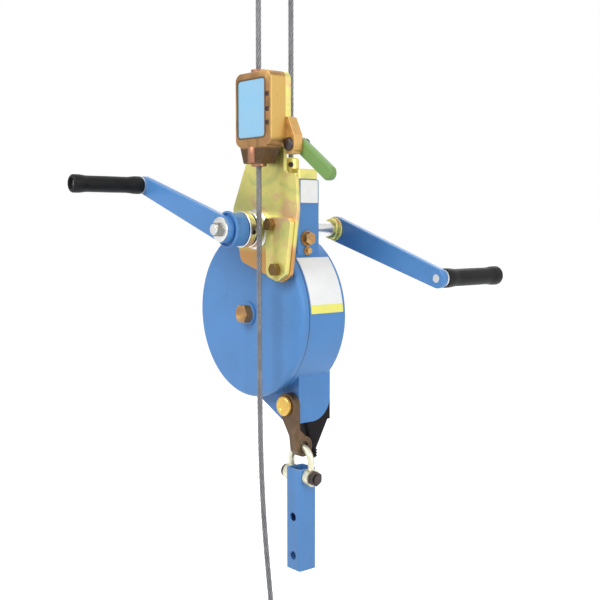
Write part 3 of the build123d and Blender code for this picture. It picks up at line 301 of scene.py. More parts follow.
def new_finish(name, metallic=0.0, coat=0.0, gloss=0.5):
    """A new material and its node tree, with the values that are the same all over."""
    material = bpy.data.materials.new(name)
    material.use_nodes = True
    inputs = material.node_tree.nodes["Principled BSDF"].inputs
    inputs["Metallic"].default_value = metallic
    inputs["Specular IOR Level"].default_value = gloss
    inputs["Coat Weight"].default_value = coat
    inputs["Coat Roughness"].default_value = COAT_ROUGHNESS
    return material, material.node_tree


def dress(material, colour, rough, height, depth):
    """Link a material's colour and roughness, and bump it by a height with a depth in metres."""
    tree = material.node_tree
    normal = result(tree, "ShaderNodeBump", {"Height": height, "Strength": 1.0, "Distance": depth})
    inputs = tree.nodes["Principled BSDF"].inputs
    for label, socket in (("Base Color", colour), ("Roughness", rough), ("Normal", normal)):
        tree.links.new(socket, inputs[label])
    return material


def enamel(name, colour, bare, rough=(0.27, 0.40), wear=0.7):
    """Gloss enamel: a little uneven in shade, rubbed to paler paint and metal along the edges."""
    material, tree = new_finish(name, coat=0.08, gloss=0.35)
    patches = mottle(tree, scale=9.0)
    base = mix_colour(tree, patches, rgba(colour, 0.93), rgba(colour, 1.05))
    marked = mix_colour(tree, scuffs(tree, amount=0.22), base, rgba(bare))
    worn = mix_colour(tree, edge_wear(tree, amount=wear), marked, rgba(bare))
    return dress(material, worn, mix_value(tree, patches, *rough), skin_grain(tree, scale=700.0), 0.000025)


def zinc(name, shades, scale=30.0, rough=0.40, metallic=0.6, tints=()):
    """Chromated zinc plating: the colour drifts over the surface, with dull spots and rubbed bright edges.

    Each tint is an axis, the two places on it in metres between which the tint comes in, and its colour.
    """
    low, middle, high = shades
    material, tree = new_finish(name, metallic=metallic)
    drift = noise(tree, scale, 4.0, 0.55, 1.1)
    warm = mix_colour(tree, spread(tree, drift, 0.30, 0.50), rgba(low), rgba(middle))
    base = mix_colour(tree, spread(tree, drift, 0.54, 0.70), warm, rgba(high))
    for axis, start, full, tint in tints:
        base = mix_colour(tree, spread(tree, along(tree, axis), start, full), base, rgba(tint))
    spots = spread(tree, noise(tree, 120.0, 3.0, 0.6), 0.60, 0.74)
    dull = mix_colour(tree, math_node(tree, "MULTIPLY", spots, 0.35), base, rgba(low, 0.7))
    worn = mix_colour(tree, edge_wear(tree, amount=0.7), dull, rgba(high, 1.25))
    scratched = mix_colour(tree, scuffs(tree, amount=0.2), worn, rgba(high, 1.15))
    dulled = mix_value(tree, spots, rough, rough + 0.16)
    return dress(material, scratched, dulled, skin_grain(tree, scale=1200.0), 0.00004)


def bright_metal(name, colour, rough, lines):
    """Turned or drawn bright steel with fine lines, stretched along X, Y and Z by the three numbers."""
    material, tree = new_finish(name, metallic=1.0)
    streak = brush_lines(tree, along_x=lines[0], along_y=lines[1], along_z=lines[2])
    stain = math_node(tree, "MULTIPLY", mottle(tree, scale=45.0), 0.12)
    base = mix_colour(tree, streak, rgba(colour, 0.82), rgba(colour))
    stained = mix_colour(tree, stain, base, rgba(colour, 0.6))
    worn = mix_colour(tree, edge_wear(tree, amount=0.8), stained, (0.92, 0.92, 0.92, 1.0))
    return dress(material, worn, mix_value(tree, streak, rough + 0.1, rough), streak, 0.00003)


def cast_metal(name, dark, pale):
    """Rough cast metal between two shades."""
    material, tree = new_finish(name, metallic=0.8)
    patches = mottle(tree, scale=40.0)
    colour = mix_colour(tree, patches, rgba(dark), rgba(pale))
    rough = mix_value(tree, patches, 0.5, 0.7)
    return dress(material, colour, rough, skin_grain(tree, scale=1500.0), 0.0002)


def black_moulding(name, colour, rough, gloss, grain_scale, depth):
    """Moulded black rubber or plastic: a fine pebbled skin, greyer where it is handled."""
    material, tree = new_finish(name, gloss=gloss)
    patches = mottle(tree, scale=28.0)
    base = mix_colour(tree, patches, rgba(colour, 0.8), rgba(colour, 1.5))
    handled = mix_colour(tree, edge_wear(tree, amount=0.5), base, (0.05, 0.05, 0.052, 1.0))
    rougher = mix_value(tree, patches, rough, rough + 0.15)
    return dress(material, handled, rougher, skin_grain(tree, scale=grain_scale), depth)


def plain_film(name, colour, second=None, split=None):
    """Plain printed film or plate with no marks; a second colour may fill it below a height."""
    material, tree = new_finish(name, coat=0.15)
    base = rgba(colour)
    soft = 0.0004
    if second is not None:
        above = spread(tree, along(tree, "Z"), split - soft, split + soft)
        base = mix_colour(tree, above, rgba(second), rgba(colour))
    dirt = mottle(tree, scale=50.0)
    aged = mix_colour(tree, math_node(tree, "MULTIPLY", dirt, 0.10), base, (0.55, 0.52, 0.45, 1.0))
    marked = mix_colour(tree, scuffs(tree, amount=0.2), aged, (0.45, 0.45, 0.44, 1.0))
    rough = mix_value(tree, dirt, 0.3, 0.48)
    return dress(material, marked, rough, skin_grain(tree, scale=500.0), 0.00003)


def rope_metal(name, grey):
    """Galvanised wires, darker between them."""
    material, tree = new_finish(name, metallic=0.75)
    patches = mottle(tree, scale=60.0)
    wires = spread(tree, noise(tree, 900.0), 0.35, 0.65)
    base = mix_colour(tree, patches, rgba(grey, 0.8), rgba(grey, 1.15))
    colour = mix_colour(tree, math_node(tree, "MULTIPLY", wires, 0.5), base, rgba(grey, 0.45))
    return dress(material, colour, mix_value(tree, patches, 0.35, 0.5), wires, 0.0001)


# Heights in millimetres between which the carrier plate's foot turns brown, as painted shade
SHADE_FOOT_TOP = 112
SHADE_FOOT_FULL = 94
# Painted shade on the grab's chin below a height in millimetres, and the depth in metres over which it and
# the polished side come in
SHADED_CHIN_TOP = 250
SHADED_CHIN_FADE = 0.004
SIDE_FADE = (0.0012, 0.0002)
# Share of the drum's plate that is its lower band
TAG_BAND = 0.16
# Lines of turned metal, which run across Y
TURNED = (30.0, 1200.0, 30.0)


def recipes():
    """Each finish's slot, the function that makes it and what that is given."""
    chosen = bpy.context.scene.hoist_finishes
    blue = chosen.casing_blue
    bronze = chosen.housing_bronze
    seam_shade = shaded(blue, 0.35)
    golds = (chosen.plate_olive, chosen.plate_gold, chosen.plate_rose)
    bronzes = (shaded(bronze, 0.62), bronze, chosen.housing_gold)
    # painted shade: the carrier plate turns brown towards its foot
    foot = ("Z", at(0, 0, SHADE_FOOT_TOP).z, at(0, 0, SHADE_FOOT_FULL).z, chosen.plate_foot_shade)
    chin_shade_top = at(0, 0, SHADED_CHIN_TOP).z
    housing_tints = (
        # painted shade: the grab's housing darkened to a quarter of its bronze below the chin's top
        ("Z", chin_shade_top, chin_shade_top - SHADED_CHIN_FADE, shaded(bronze, 0.25)),
        ("X", grab_side - SIDE_FADE[0], grab_side - SIDE_FADE[1], chosen.housing_side),
    )
    band = tag_low.z + TAG_BAND * (tag_high.z - tag_low.z)
    ochres = (bronze, chosen.housing_gold, chosen.housing_side)
    dark_bronzes = [shaded(bronze, share) for share in (0.30, 0.45, 0.50)]
    # Painted shade: the hanger link's yellow zinc made dark brown for the shade it lies in
    shaded_browns = ((0.072, 0.043, 0.024), (0.115, 0.068, 0.036), (0.170, 0.100, 0.050))
    umbers = ((0.130, 0.075, 0.022), (0.200, 0.115, 0.032), (0.280, 0.170, 0.055))
    oranges = ((0.600, 0.360, 0.080), (0.780, 0.500, 0.110), (0.840, 0.600, 0.200))
    creams = ((0.560, 0.530, 0.370), (0.760, 0.730, 0.560), (0.800, 0.720, 0.500))
    rubber = (0.010, 0.008, 0.009)
    plastic = (0.009, 0.009, 0.0095)
    return {
        "Blue enamel": ("blue_paint", enamel, blue, (0.31, 0.45, 0.66)),
        # painted shade of the cover's seam: the casing's blue darkened to about a third
        "Seam enamel": ("blue_paint", enamel, seam_shade, seam_shade),
        "Green enamel": ("green_paint", enamel, chosen.lever_green, (0.45, 0.56, 0.33), (0.35, 0.50), 0.9),
        "Yellow zinc": ("yellow_zinc", zinc, golds, 22.0, 0.36, 0.7),
        "Carrier zinc": ("yellow_zinc", zinc, golds, 22.0, 0.36, 0.7, [foot]),
        "Orange zinc": ("yellow_zinc", zinc, oranges, 30.0, 0.34, 0.7),
        "Pale zinc": ("yellow_zinc", zinc, creams, 30.0, 0.36, 0.7),
        "Bronze zinc": ("bronze_zinc", zinc, bronzes),
        "Housing bronze": ("bronze_zinc", zinc, bronzes, 30.0, 0.40, 0.6, housing_tints),
        "Ochre zinc": ("bronze_zinc", zinc, ochres),
        "Dark bronze": ("bronze_zinc", zinc, dark_bronzes, 40.0, 0.45, 0.5),
        "Brown zinc": ("bronze_zinc", zinc, shaded_browns),
        "Umber zinc": ("bronze_zinc", zinc, umbers),
        "Bright zinc": ("bright_steel", bright_metal, chosen.bright_zinc, 0.26, (30.0, 1500.0, 30.0)),
        "Grey steel": ("bright_steel", bright_metal, (0.300, 0.300, 0.280), 0.34, TURNED),
        "Dark steel": ("dark_steel", bright_metal, (0.085, 0.070, 0.068), 0.38, TURNED),
        "Bush bronze": ("bush_bronze", bright_metal, (0.42, 0.20, 0.12), 0.34, (30.0, 30.0, 1500.0)),
        "Galvanised steel": ("rope_wire", bright_metal, (0.460, 0.460, 0.470), 0.40, (40.0, 40.0, 900.0)),
        "Rope wire": ("rope_wire", rope_metal, chosen.rope_grey),
        "Cast iron": ("cast_iron", cast_metal, (0.14, 0.14, 0.15), (0.27, 0.26, 0.26)),
        "Black rubber": ("black_rubber", black_moulding, rubber, 0.55, 0.12, 1600.0, 0.00008),
        "Grip plastic": ("black_plastic", black_moulding, plastic, 0.38, 0.16, 2200.0, 0.00004),
        "Label film": ("blue_label", plain_film, chosen.label_blue),
        "White plate": ("white_plate", plain_film, chosen.tag_white),
        "Drum plate": ("white_plate", plain_film, chosen.tag_white, chosen.tag_yellow, band),
    }


def finish(look):
    """The material of a finish, made on first use."""
    material = bpy.data.materials.get(look)
    if material is None:
        _, build, *values = recipes()[look]
        material = build(look, *values)
    return material


# Meshes

def new_object(name, data):
    piece = bpy.data.objects.new(name, data)
    bpy.context.scene.collection.objects.link(piece)
    return piece


def smooth(mesh, angle=35.0):
    mesh.shade_smooth()
    mesh.set_sharp_from_angle(angle=math.radians(angle))


def kept(form, name, angle=35.0):
    """A new object with a form's mesh, smooth but for its sharp edges."""
    mesh = bpy.data.meshes.new(name)
    form.to_mesh(mesh)
    form.free()
    smooth(mesh, angle)
    return new_object(name, mesh)


def settled(piece):
    """The piece with what its modifiers make as its plain mesh."""
    depsgraph = bpy.context.evaluated_depsgraph_get()
    mesh = bpy.data.meshes.new_from_object(piece.evaluated_get(depsgraph))
    mesh.name = piece.name
    piece.modifiers.clear()
    piece.data = mesh
    return piece


def seat(piece, body, look, *replaced):
    """Give a finished piece its finish and its place on a body, where it may stand for frame nodes."""
    piece.data.materials.clear()
    piece.data.materials.append(finish(look))
    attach(piece, body)
    if replaced:
        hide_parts(*replaced)
    return piece


def coat(look, *nodes):
    """Give frame nodes, which keep their shape, a finish."""
    for node in nodes:
        for material_slot in frame["nodes"][node].material_slots:
            material_slot.material = finish(look)


def circle(steps):
    """The angles of even steps round a circle."""
    return [2 * math.pi * step / steps for step in range(steps)]


def join_rings(form, low, high):
    """Make the faces between two rings of points, either of which may be a single point."""
    steps = max(len(low), len(high))
    for step in range(steps):
        after = (step + 1) % steps
        ends = ((low, step), (low, after), (high, after), (high, step))
        corners = list(dict.fromkeys(ring[count % len(ring)] for ring, count in ends))
        if len(corners) > 2:
            form.faces.new(corners)


def lathed(name, profile, base, way, steps):
    """A form turned from a closed profile of (radius, height) points in millimetres.

    Heights run along way from base. A profile that starts and ends on the axis is closed by it.
    """
    form = bmesh.new()
    rings = []
    for radius, height in profile:
        ring = []
        for turn in circle(steps if radius else 1):
            ring.append(form.verts.new((radius * math.cos(turn), radius * math.sin(turn), height)))
        rings.append(ring)
    pairs = list(zip(rings, rings[1:]))
    if len(rings[0]) > 1 and len(rings[-1]) > 1:
        pairs.append((rings[-1], rings[0]))
    for low, high in pairs:
        join_rings(form, low, high)
    bmesh.ops.recalc_face_normals(form, faces=form.faces)
    facing = way.to_track_quat("Z", "X").to_matrix().to_4x4()
    form.transform(Matrix.Translation(base) @ facing @ Matrix.Scale(MM, 4))
    return kept(form, name)


def turned(name, profile, base, way, body, look, *replaced, steps=72):
    """A turned piece in its place on a body."""
    return seat(lathed(name, profile, base, way, steps), body, look, *replaced)


def rounded_step(radius, height, edge):
    """Profile points of a disc's rim with small rounds on both edges."""
    half = edge * 0.3
    return [
        (radius - edge, 0.0), (radius - half, half), (radius, edge),
        (radius, height - edge), (radius - half, height - half), (radius - edge, height),
    ]


def ring_profile(inner, outer, height, edge):
    """Closed profile of a washer or collar with rounded edges."""
    return [(inner, 0.0), *rounded_step(outer, height, edge), (inner, height)]


def ringed(count, start, pitch, pattern):
    """A pattern of profile points that is repeated along the axis."""
    return [(radius, start + ring * pitch + height) for ring in range(count) for radius, height in pattern]


def thread_profile(radius, length, pitch):
    """Profile of a threaded end, ring by ring, with a chamfered tip."""
    ridge = [(radius, 0.15 * pitch), (radius - 0.5 * pitch, 0.5 * pitch), (radius, 0.85 * pitch)]
    return [
        (0.0, 0.0), (radius, 0.0), *ringed(int(length / pitch - 1), 0.0, pitch, ridge),
        (radius, length - pitch), (radius - pitch, length), (0.0, length),
    ]


def washer(name, base, way, body, look, *replaced, inner, outer, height):
    """A round washer with rounded edges, sizes in millimetres."""
    profile = ring_profile(inner, outer, height, 0.2 * height)
    return turned(name, profile, base, way, body, look, *replaced)


# Profile of a low round screw head with a socket, for a head of radius 1
SCREW_HEAD = (
    (0.0, 0.30), (0.40, 0.30), (0.45, 0.57), (0.80, 0.53), (0.97, 0.30), (1.0, 0.0), (0.0, 0.0),
)


def socket_screw(name, seat_at, way, radius, *replaced):
    """A low round screw head with a socket, its radius in millimetres."""
    profile = [(across * radius, height * radius) for across, height in SCREW_HEAD]
    return turned(name, profile, seat_at, way, "casing", "Dark steel", *replaced, steps=24)


HARD_ANGLE = math.radians(40.0)
FLAT_ANGLE = math.radians(0.8)
MERGE_GAP = 1e-6


def rounded_copy(node, suffix, body, look, width=None):
    """A copy of a frame node with its hard edges rounded and marked for wear, which stands for the node."""
    form = bmesh.new()
    form.from_mesh(frame["nodes"][node].data)
    bmesh.ops.remove_doubles(form, verts=form.verts, dist=MERGE_GAP)
    bmesh.ops.dissolve_limit(form, angle_limit=FLAT_ANGLE, verts=form.verts, edges=form.edges)
    hard = [edge for edge in form.edges if edge.is_manifold and edge.calc_face_angle(0.0) > HARD_ANGLE]
    made = bmesh.ops.bevel(
        form, geom=hard, offset=width or sizes().edge_round, offset_type="OFFSET", segments=2, profile=0.5,
        affect="EDGES", clamp_overlap=False, loop_slide=True,
    )
    layer = form.verts.layers.float.new("edge")
    rounded = set(made["faces"])
    for vert in form.verts:
        if vert.link_faces and all(face in rounded for face in vert.link_faces):
            vert[layer] = 1.0
    piece = kept(form, f"{node}_{suffix}", 50.0)
    piece.modifiers.new("Weighted", "WEIGHTED_NORMAL").keep_sharp = True
    return seat(settled(piece), body, look, node)


# Geometry node trees

SOCKET_KINDS = {float: "NodeSocketFloat", int: "NodeSocketInt"}


def geometry_tree(name, **inputs):
    """Turn a function that builds geometry nodes into one that gives their tree, made on first use.

    The tree makes what is built real and gives it a material. An input with no default is an object.
    """
    def wrap(build):
        def make():
            tree = bpy.data.node_groups.new(name, "GeometryNodeTree")
            sockets = tree.interface
            sockets.new_socket("Geometry", in_out="INPUT", socket_type="NodeSocketGeometry")
            for label, default in titled(inputs).items():
                kind = SOCKET_KINDS.get(type(default), "NodeSocketObject")
                socket = sockets.new_socket(label, in_out="INPUT", socket_type=kind)
                if default is not None:
                    socket.default_value = default
            sockets.new_socket("Material", in_out="INPUT", socket_type="NodeSocketMaterial")
            sockets.new_socket("Geometry", in_out="OUTPUT", socket_type="NodeSocketGeometry")
            source = tree.nodes.new("NodeGroupInput").outputs
            real = result(tree, "GeometryNodeRealizeInstances", {"Geometry": build(tree, source)})
            coated = {"Geometry": real, "Material": source["Material"]}
            place(tree, "NodeGroupOutput", {"Geometry": result(tree, "GeometryNodeSetMaterial", coated)})
            return tree

        return lambda: bpy.data.node_groups.get(name) or make()

    return wrap


def grow(name, mesh, tree, look, **values):
    """Run a tree on a mesh and keep the result as a plain mesh in a new object."""
    piece = new_object(name, mesh)
    modifier = piece.modifiers.new("Grow", "NODES")
    modifier.node_group = tree
    inputs = [item for item in tree.interface.items_tree if item.in_out == "INPUT"]
    identifiers = {item.name: item.identifier for item in inputs}
    for label, value in {**titled(values), "Material": finish(look)}.items():
        modifier[identifiers[label]] = value
    return settled(piece)


def vector_math(tree, operation, first, second):
    return result(tree, "ShaderNodeVectorMath", {0: first, 1: second}, operation=operation)


def scaled(tree, vector, factor):
    return result(tree, "ShaderNodeVectorMath", {0: vector, "Scale": factor}, operation="SCALE")


# Radii of a strand and of the ring of strands, as shares of the rope's diameter
STRAND_R = 0.1667
STRAND_RING_R = 0.3333
STRAND_SIDES = 8


@geometry_tree("Rope strands", diameter=0.008, lay=0.052, step=0.0035, strands=6)
def rope_tree(tree, source):
    """Lays strands round a line: a core and strands that turn once in each lay length."""
    line = result(tree, "GeometryNodeMeshToCurve", {"Mesh": source["Geometry"]})
    rings = {"Curve": line, "Length": source["Step"]}
    even = result(tree, "GeometryNodeResampleCurve", rings, mode="LENGTH")
    steady = result(tree, "GeometryNodeSetCurveNormal", {"Curve": even}, mode="MINIMUM_TWIST")
    strands = {"Geometry": steady, "Amount": source["Strands"]}
    copies = place(tree, "GeometryNodeDuplicateElements", strands, domain="SPLINE").outputs
    travelled = result(tree, "GeometryNodeSplineParameter", output="Length")
    turns = math_node(tree, "DIVIDE", travelled, source["Lay"])
    share = math_node(tree, "DIVIDE", copies["Duplicate Index"], source["Strands"])
    angle = math_node(tree, "MULTIPLY", math_node(tree, "ADD", turns, share), 2 * math.pi)
    normal = result(tree, "GeometryNodeInputNormal", output="Normal")
    tangent = result(tree, "GeometryNodeInputTangent", output="Tangent")
    across = vector_math(tree, "CROSS_PRODUCT", tangent, normal)
    first = scaled(tree, normal, math_node(tree, "COSINE", angle))
    second = scaled(tree, across, math_node(tree, "SINE", angle))
    ring_r = math_node(tree, "MULTIPLY", source["Diameter"], STRAND_RING_R)
    offset = scaled(tree, vector_math(tree, "ADD", first, second), ring_r)
    laid = result(tree, "GeometryNodeSetPosition", {"Geometry": copies["Geometry"], "Offset": offset})
    strand_r = math_node(tree, "MULTIPLY", source["Diameter"], STRAND_R)
    strand = {"Resolution": STRAND_SIDES, "Radius": strand_r}
    rim = result(tree, "GeometryNodeCurvePrimitiveCircle", strand)
    joined = place(tree, "GeometryNodeJoinGeometry")
    for lines in (laid, steady):
        tube = {"Curve": lines, "Profile Curve": rim, "Fill Caps": True}
        tree.links.new(result(tree, "GeometryNodeCurveToMesh", tube), joined.inputs[0])
    return result(tree, "GeometryNodeSetShadeSmooth", {"Geometry": joined.outputs[0]})


class Fastener(NamedTuple):
    """A hex head or nut: its seat, the way it faces, and its sizes in millimetres, 0 for what it lacks."""

    seat: Vector
    way: Vector
    corner_r: float
    height: float
    washer_r: float = 0.0
    stem_r: float = 0.0
    stem: float = 0.0


HEX_STEPS = 48
HEX_FLAT_R = math.cos(math.pi / 6)
HEX_TOP_R = HEX_FLAT_R * 0.97
HEX_CONE_FALL = 0.7


def hex_head():
    """A hex head of corner radius 1 and height 1, its upper corners cut by a cone."""
    form = bmesh.new()
    rings = ([], [], [])
    for turn in circle(HEX_STEPS):
        rim = HEX_FLAT_R / math.cos(turn % (math.pi / 3) - math.pi / 6)
        rims = ((rim, 0.0), (rim, 1.0 - HEX_CONE_FALL * (rim - HEX_TOP_R)), (HEX_TOP_R, 1.0))
        for ring, (radius, height) in zip(rings, rims):
            ring.append(form.verts.new((radius * math.cos(turn), radius * math.sin(turn), height)))
    for low, high in zip(rings, rings[1:]):
        join_rings(form, low, high)
    form.faces.new(rings[2])
    form.faces.new(rings[0][::-1])
    return kept(form, "hex_head")


@geometry_tree("Hex fasteners", head=None, washer_height=0.002)
def fastener_tree(tree, source):
    """Sets a chamfered hex head on each point, with a washer and a stem where they are asked for."""
    def named(label, kind="FLOAT"):
        return result(tree, "GeometryNodeInputNamedAttribute", {"Name": label}, "Attribute", data_type=kind)

    facing = result(
        tree, "FunctionNodeAlignRotationToVector", {"Vector": named("way", "FLOAT_VECTOR")}, axis="Z",
    )

    def set_on_points(form, radius, height):
        wanted = result(
            tree, "FunctionNodeCompare", {"A": radius, "B": 0.0},
            data_type="FLOAT", operation="GREATER_THAN",
        )
        return result(tree, "GeometryNodeInstanceOnPoints", {
            "Points": source["Geometry"], "Selection": wanted, "Instance": form, "Rotation": facing,
            "Scale": result(tree, "ShaderNodeCombineXYZ", {0: radius, 1: radius, 2: height}),
        })

    head = result(tree, "GeometryNodeObjectInfo", {"Object": source["Head"]}, "Geometry")
    unit = {"Vertices": HEX_STEPS, "Radius": 1.0, "Depth": 1.0}
    disc = result(tree, "GeometryNodeMeshCylinder", unit, "Mesh")
    sunk = result(tree, "GeometryNodeTransform", {"Geometry": disc, "Translation": (0, 0, -0.5)})
    joined = place(tree, "GeometryNodeJoinGeometry")
    for part in (
        set_on_points(head, named("corner_r"), named("height")),
        set_on_points(sunk, named("washer_r"), source["Washer height"]),
        set_on_points(sunk, named("stem_r"), named("stem")),
    ):
        tree.links.new(part, joined.inputs[0])
    return joined.outputs[0]


def fasteners(name, body, look, replaced, *places):
    """One piece with the hex heads or nuts of all the places, which stands for a frame node."""
    mesh = bpy.data.meshes.new(name)
    mesh.from_pydata([entry.seat for entry in places], [], [])
    ways = mesh.attributes.new("way", "FLOAT_VECTOR", "POINT")
    for row, entry in enumerate(places):
        ways.data[row].vector = entry.way
    for label in ("corner_r", "height", "washer_r", "stem_r", "stem"):
        layer = mesh.attributes.new(label, "FLOAT", "POINT")
        for row, entry in enumerate(places):
            layer.data[row].value = getattr(entry, label) * MM
    head = hex_head()
    piece = grow(name, mesh, fastener_tree(), look, head=head)
    bpy.data.objects.remove(head)
    smooth(piece.data, 25.0)
    return seat(piece, body, look, replaced)


@geometry_tree("Weld bead", bead=0.0026, step=0.0016)
def weld_tree(tree, source):
    """Lays a rippled weld bead along a line: overlapping drops that are flatter along it."""
    line = result(tree, "GeometryNodeMeshToCurve", {"Mesh": source["Geometry"]})
    spaced = {"Curve": line, "Length": source["Step"]}
    even = place(tree, "GeometryNodeCurveToPoints", spaced, mode="LENGTH").outputs
    ball = result(tree, "GeometryNodeMeshIcoSphere", {"Radius": source["Bead"], "Subdivisions": 2}, "Mesh")
    drop = result(tree, "GeometryNodeSetShadeSmooth", {"Geometry": ball})
    return result(tree, "GeometryNodeInstanceOnPoints", {
        "Points": even["Points"], "Instance": drop, "Rotation": even["Rotation"], "Scale": (1.0, 1.0, 0.7),
    })


# Radius of a weld's drops and the way from one to the next, in metres
WELD_BEAD = 0.0026
WELD_STEP = 0.6 * WELD_BEAD
WELD_POINTS = 96


def ring_weld(name, centre, radius, body, look):
    """A weld round a bar that stands along Y."""
    rim = [centre + radius * Vector((math.cos(turn), 0, math.sin(turn))) for turn in circle(WELD_POINTS)]
    mesh = bpy.data.meshes.new(name)
    mesh.from_pydata(rim, [(step, (step + 1) % WELD_POINTS) for step in range(WELD_POINTS)], [])
    return seat(grow(name, mesh, weld_tree(), look, bead=WELD_BEAD, step=WELD_STEP), body, look)


# Ropes, in metres

FERRULE_TOP = -0.046
FERRULE_FOOT = -0.072
SHEAVE_PITCH_R = 0.064
# How far the turn round the sheave moves along the axle
ROPE_SHIFT = 0.0095
WRAP_STEPS = 24
EYE_PITCH_R = 0.022
EYE_LEG = 0.0043
EYE_STEPS = 12
MAIN_HEAD = ((0.0, 0.0, FERRULE_FOOT), (0.0, 0.0, -0.120), (0.0, 0.0, -0.498))
MAIN_TAIL = ((0.0, ROPE_SHIFT, -0.651), (0.013, 0.0305, -0.731), (0.013, 0.0305, -0.792))
MAIN_LENGTH = 1.125
SAFETY_ROUTE = (
    (0.008, -0.0675, FERRULE_FOOT), (0.008, -0.0675, -0.120), (0.008, -0.0675, -0.541),
    (0.008, -0.0675, -0.656), (0.011, -0.0675, -0.771), (0.020, -0.0675, -0.878), (0.036, -0.0675, -0.983),
)
SAFETY_LENGTH = 0.913
# Profile of a fused and crimped rope end with four rings, in millimetres
TIP_RING = ((4.7, 0.4), (4.7, 2.2), (4.3, 2.6), (4.3, 3.1))
TIP_PROFILE = (
    (0.0, 0.0), (4.2, 0.0), *ringed(count=4, start=0.5, pitch=3.2, pattern=TIP_RING),
    (3.6, 13.8), (0.0, 14.0),
)


def main_route():
    """Straight down from the ferrule, one turn round the sheave, and out through the tail."""
    wrap = []
    step = 2 * math.pi / WRAP_STEPS
    corner_r = SHEAVE_PITCH_R / math.cos(step / 2)
    for count in range(WRAP_STEPS):
        angle = -step * (count + 0.5)
        done = (count + 0.5) / WRAP_STEPS
        sideways = ROPE_SHIFT * done * done * (3 - 2 * done)
        wrap.append((axle.x + corner_r * math.cos(angle), sideways, axle.z + corner_r * math.sin(angle)))
    return [Vector(point) for point in (*MAIN_HEAD, *wrap, *MAIN_TAIL)]


def eye_route(centre):
    """From the ferrule, out to the thimble, round it and back."""
    reach = (EYE_LEG ** 2 + FERRULE_TOP ** 2 - EYE_PITCH_R ** 2) / (2 * (EYE_PITCH_R - EYE_LEG))
    touch = math.atan2(FERRULE_TOP, EYE_LEG + reach)
    slide = (EYE_LEG - EYE_PITCH_R * math.cos(touch)) / math.sin(touch)
    knee = EYE_PITCH_R * math.sin(touch) - slide * math.cos(touch)
    step = (math.pi - 2 * touch) / EYE_STEPS
    corner_r = EYE_PITCH_R / math.cos(step / 2)
    turns = [touch + step * (count + 0.5) for count in range(EYE_STEPS)]
    flat = [
        (EYE_LEG, FERRULE_TOP), (EYE_LEG, knee),
        *((corner_r * math.cos(turn), corner_r * math.sin(turn)) for turn in turns),
        (-EYE_LEG, knee), (-EYE_LEG, FERRULE_TOP),
    ]
    return [centre + Vector((x, 0, z)) for x, z in flat]


def route_line(name, points):
    """The smooth line of a rope's route: a spline with the points as its control points, read as a mesh."""
    curve = bpy.data.curves.new(name, "CURVE")
    curve.dimensions = "3D"
    curve.resolution_u = 16
    spline = curve.splines.new("NURBS")
    spline.points.add(len(points) - 1)
    for knot, point in zip(spline.points, points):
        knot.co = (*point, 1.0)
    spline.order_u = 3
    spline.use_endpoint_u = True
    holder = new_object(name, curve)
    mesh = bpy.data.meshes.new_from_object(holder)
    bpy.data.objects.remove(holder)
    bpy.data.curves.remove(curve)
    return mesh


def stranded(name, points, replaced):
    """A stranded rope along a route, which stands for a frame node, and the points of its line."""
    line = route_line(name, points)
    path = [tuple(vert.co) for vert in line.vertices]
    chosen = sizes()
    piece = grow(
        name, line, rope_tree(), "Rope wire", diameter=chosen.rope_diameter, lay=chosen.rope_lay,
        step=chosen.rope_step, strands=chosen.strand_count,
    )
    return seat(piece, "casing", "Rope wire", replaced), path


class HOIST_OT_ropes(bpy.types.Operator):
    """Lay the two wire ropes with their eyes and ends"""

    bl_idname = "hoist.ropes"
    bl_label = "Ropes"

    def execute(self, context):
        safety_route = [Vector(point) for point in SAFETY_ROUTE]
        for rope, route, length in (
            ("main", main_route(), MAIN_LENGTH), ("safety", safety_route, SAFETY_LENGTH),
        ):
            piece, path = stranded(f"{rope}_rope_strands", route, f"{rope}_rope")
            eye = route[0] - FERRULE_FOOT * UP
            loop, _ = stranded(f"{rope}_eye_strands", eye_route(eye), "eye_loops")
            way = (route[-1] - route[-2]).normalized()
            tip = turned(
                f"{rope}_rope_end", TIP_PROFILE, route[-1], way, "casing", "Galvanised steel", "rope_tips",
                steps=32,
            )
        coat("Galvanised steel", "main_thimble", "safety_thimble", "rope_ferrules")
        return {"FINISHED"}


# Pieces, with places and sizes in millimetres

# Place of the ring of painted shade in the cover's seam
COVER_SHADE_RING_Y = 11.7
AXLE_R = 9.9
AXLE_HEX_R = 15.0
AXLE_WASHER = {"inner": 10, "outer": 18, "height": 3}
# How far the axle's plain part reaches behind the casing, where its threaded end starts
AXLE_REACH = 11.0


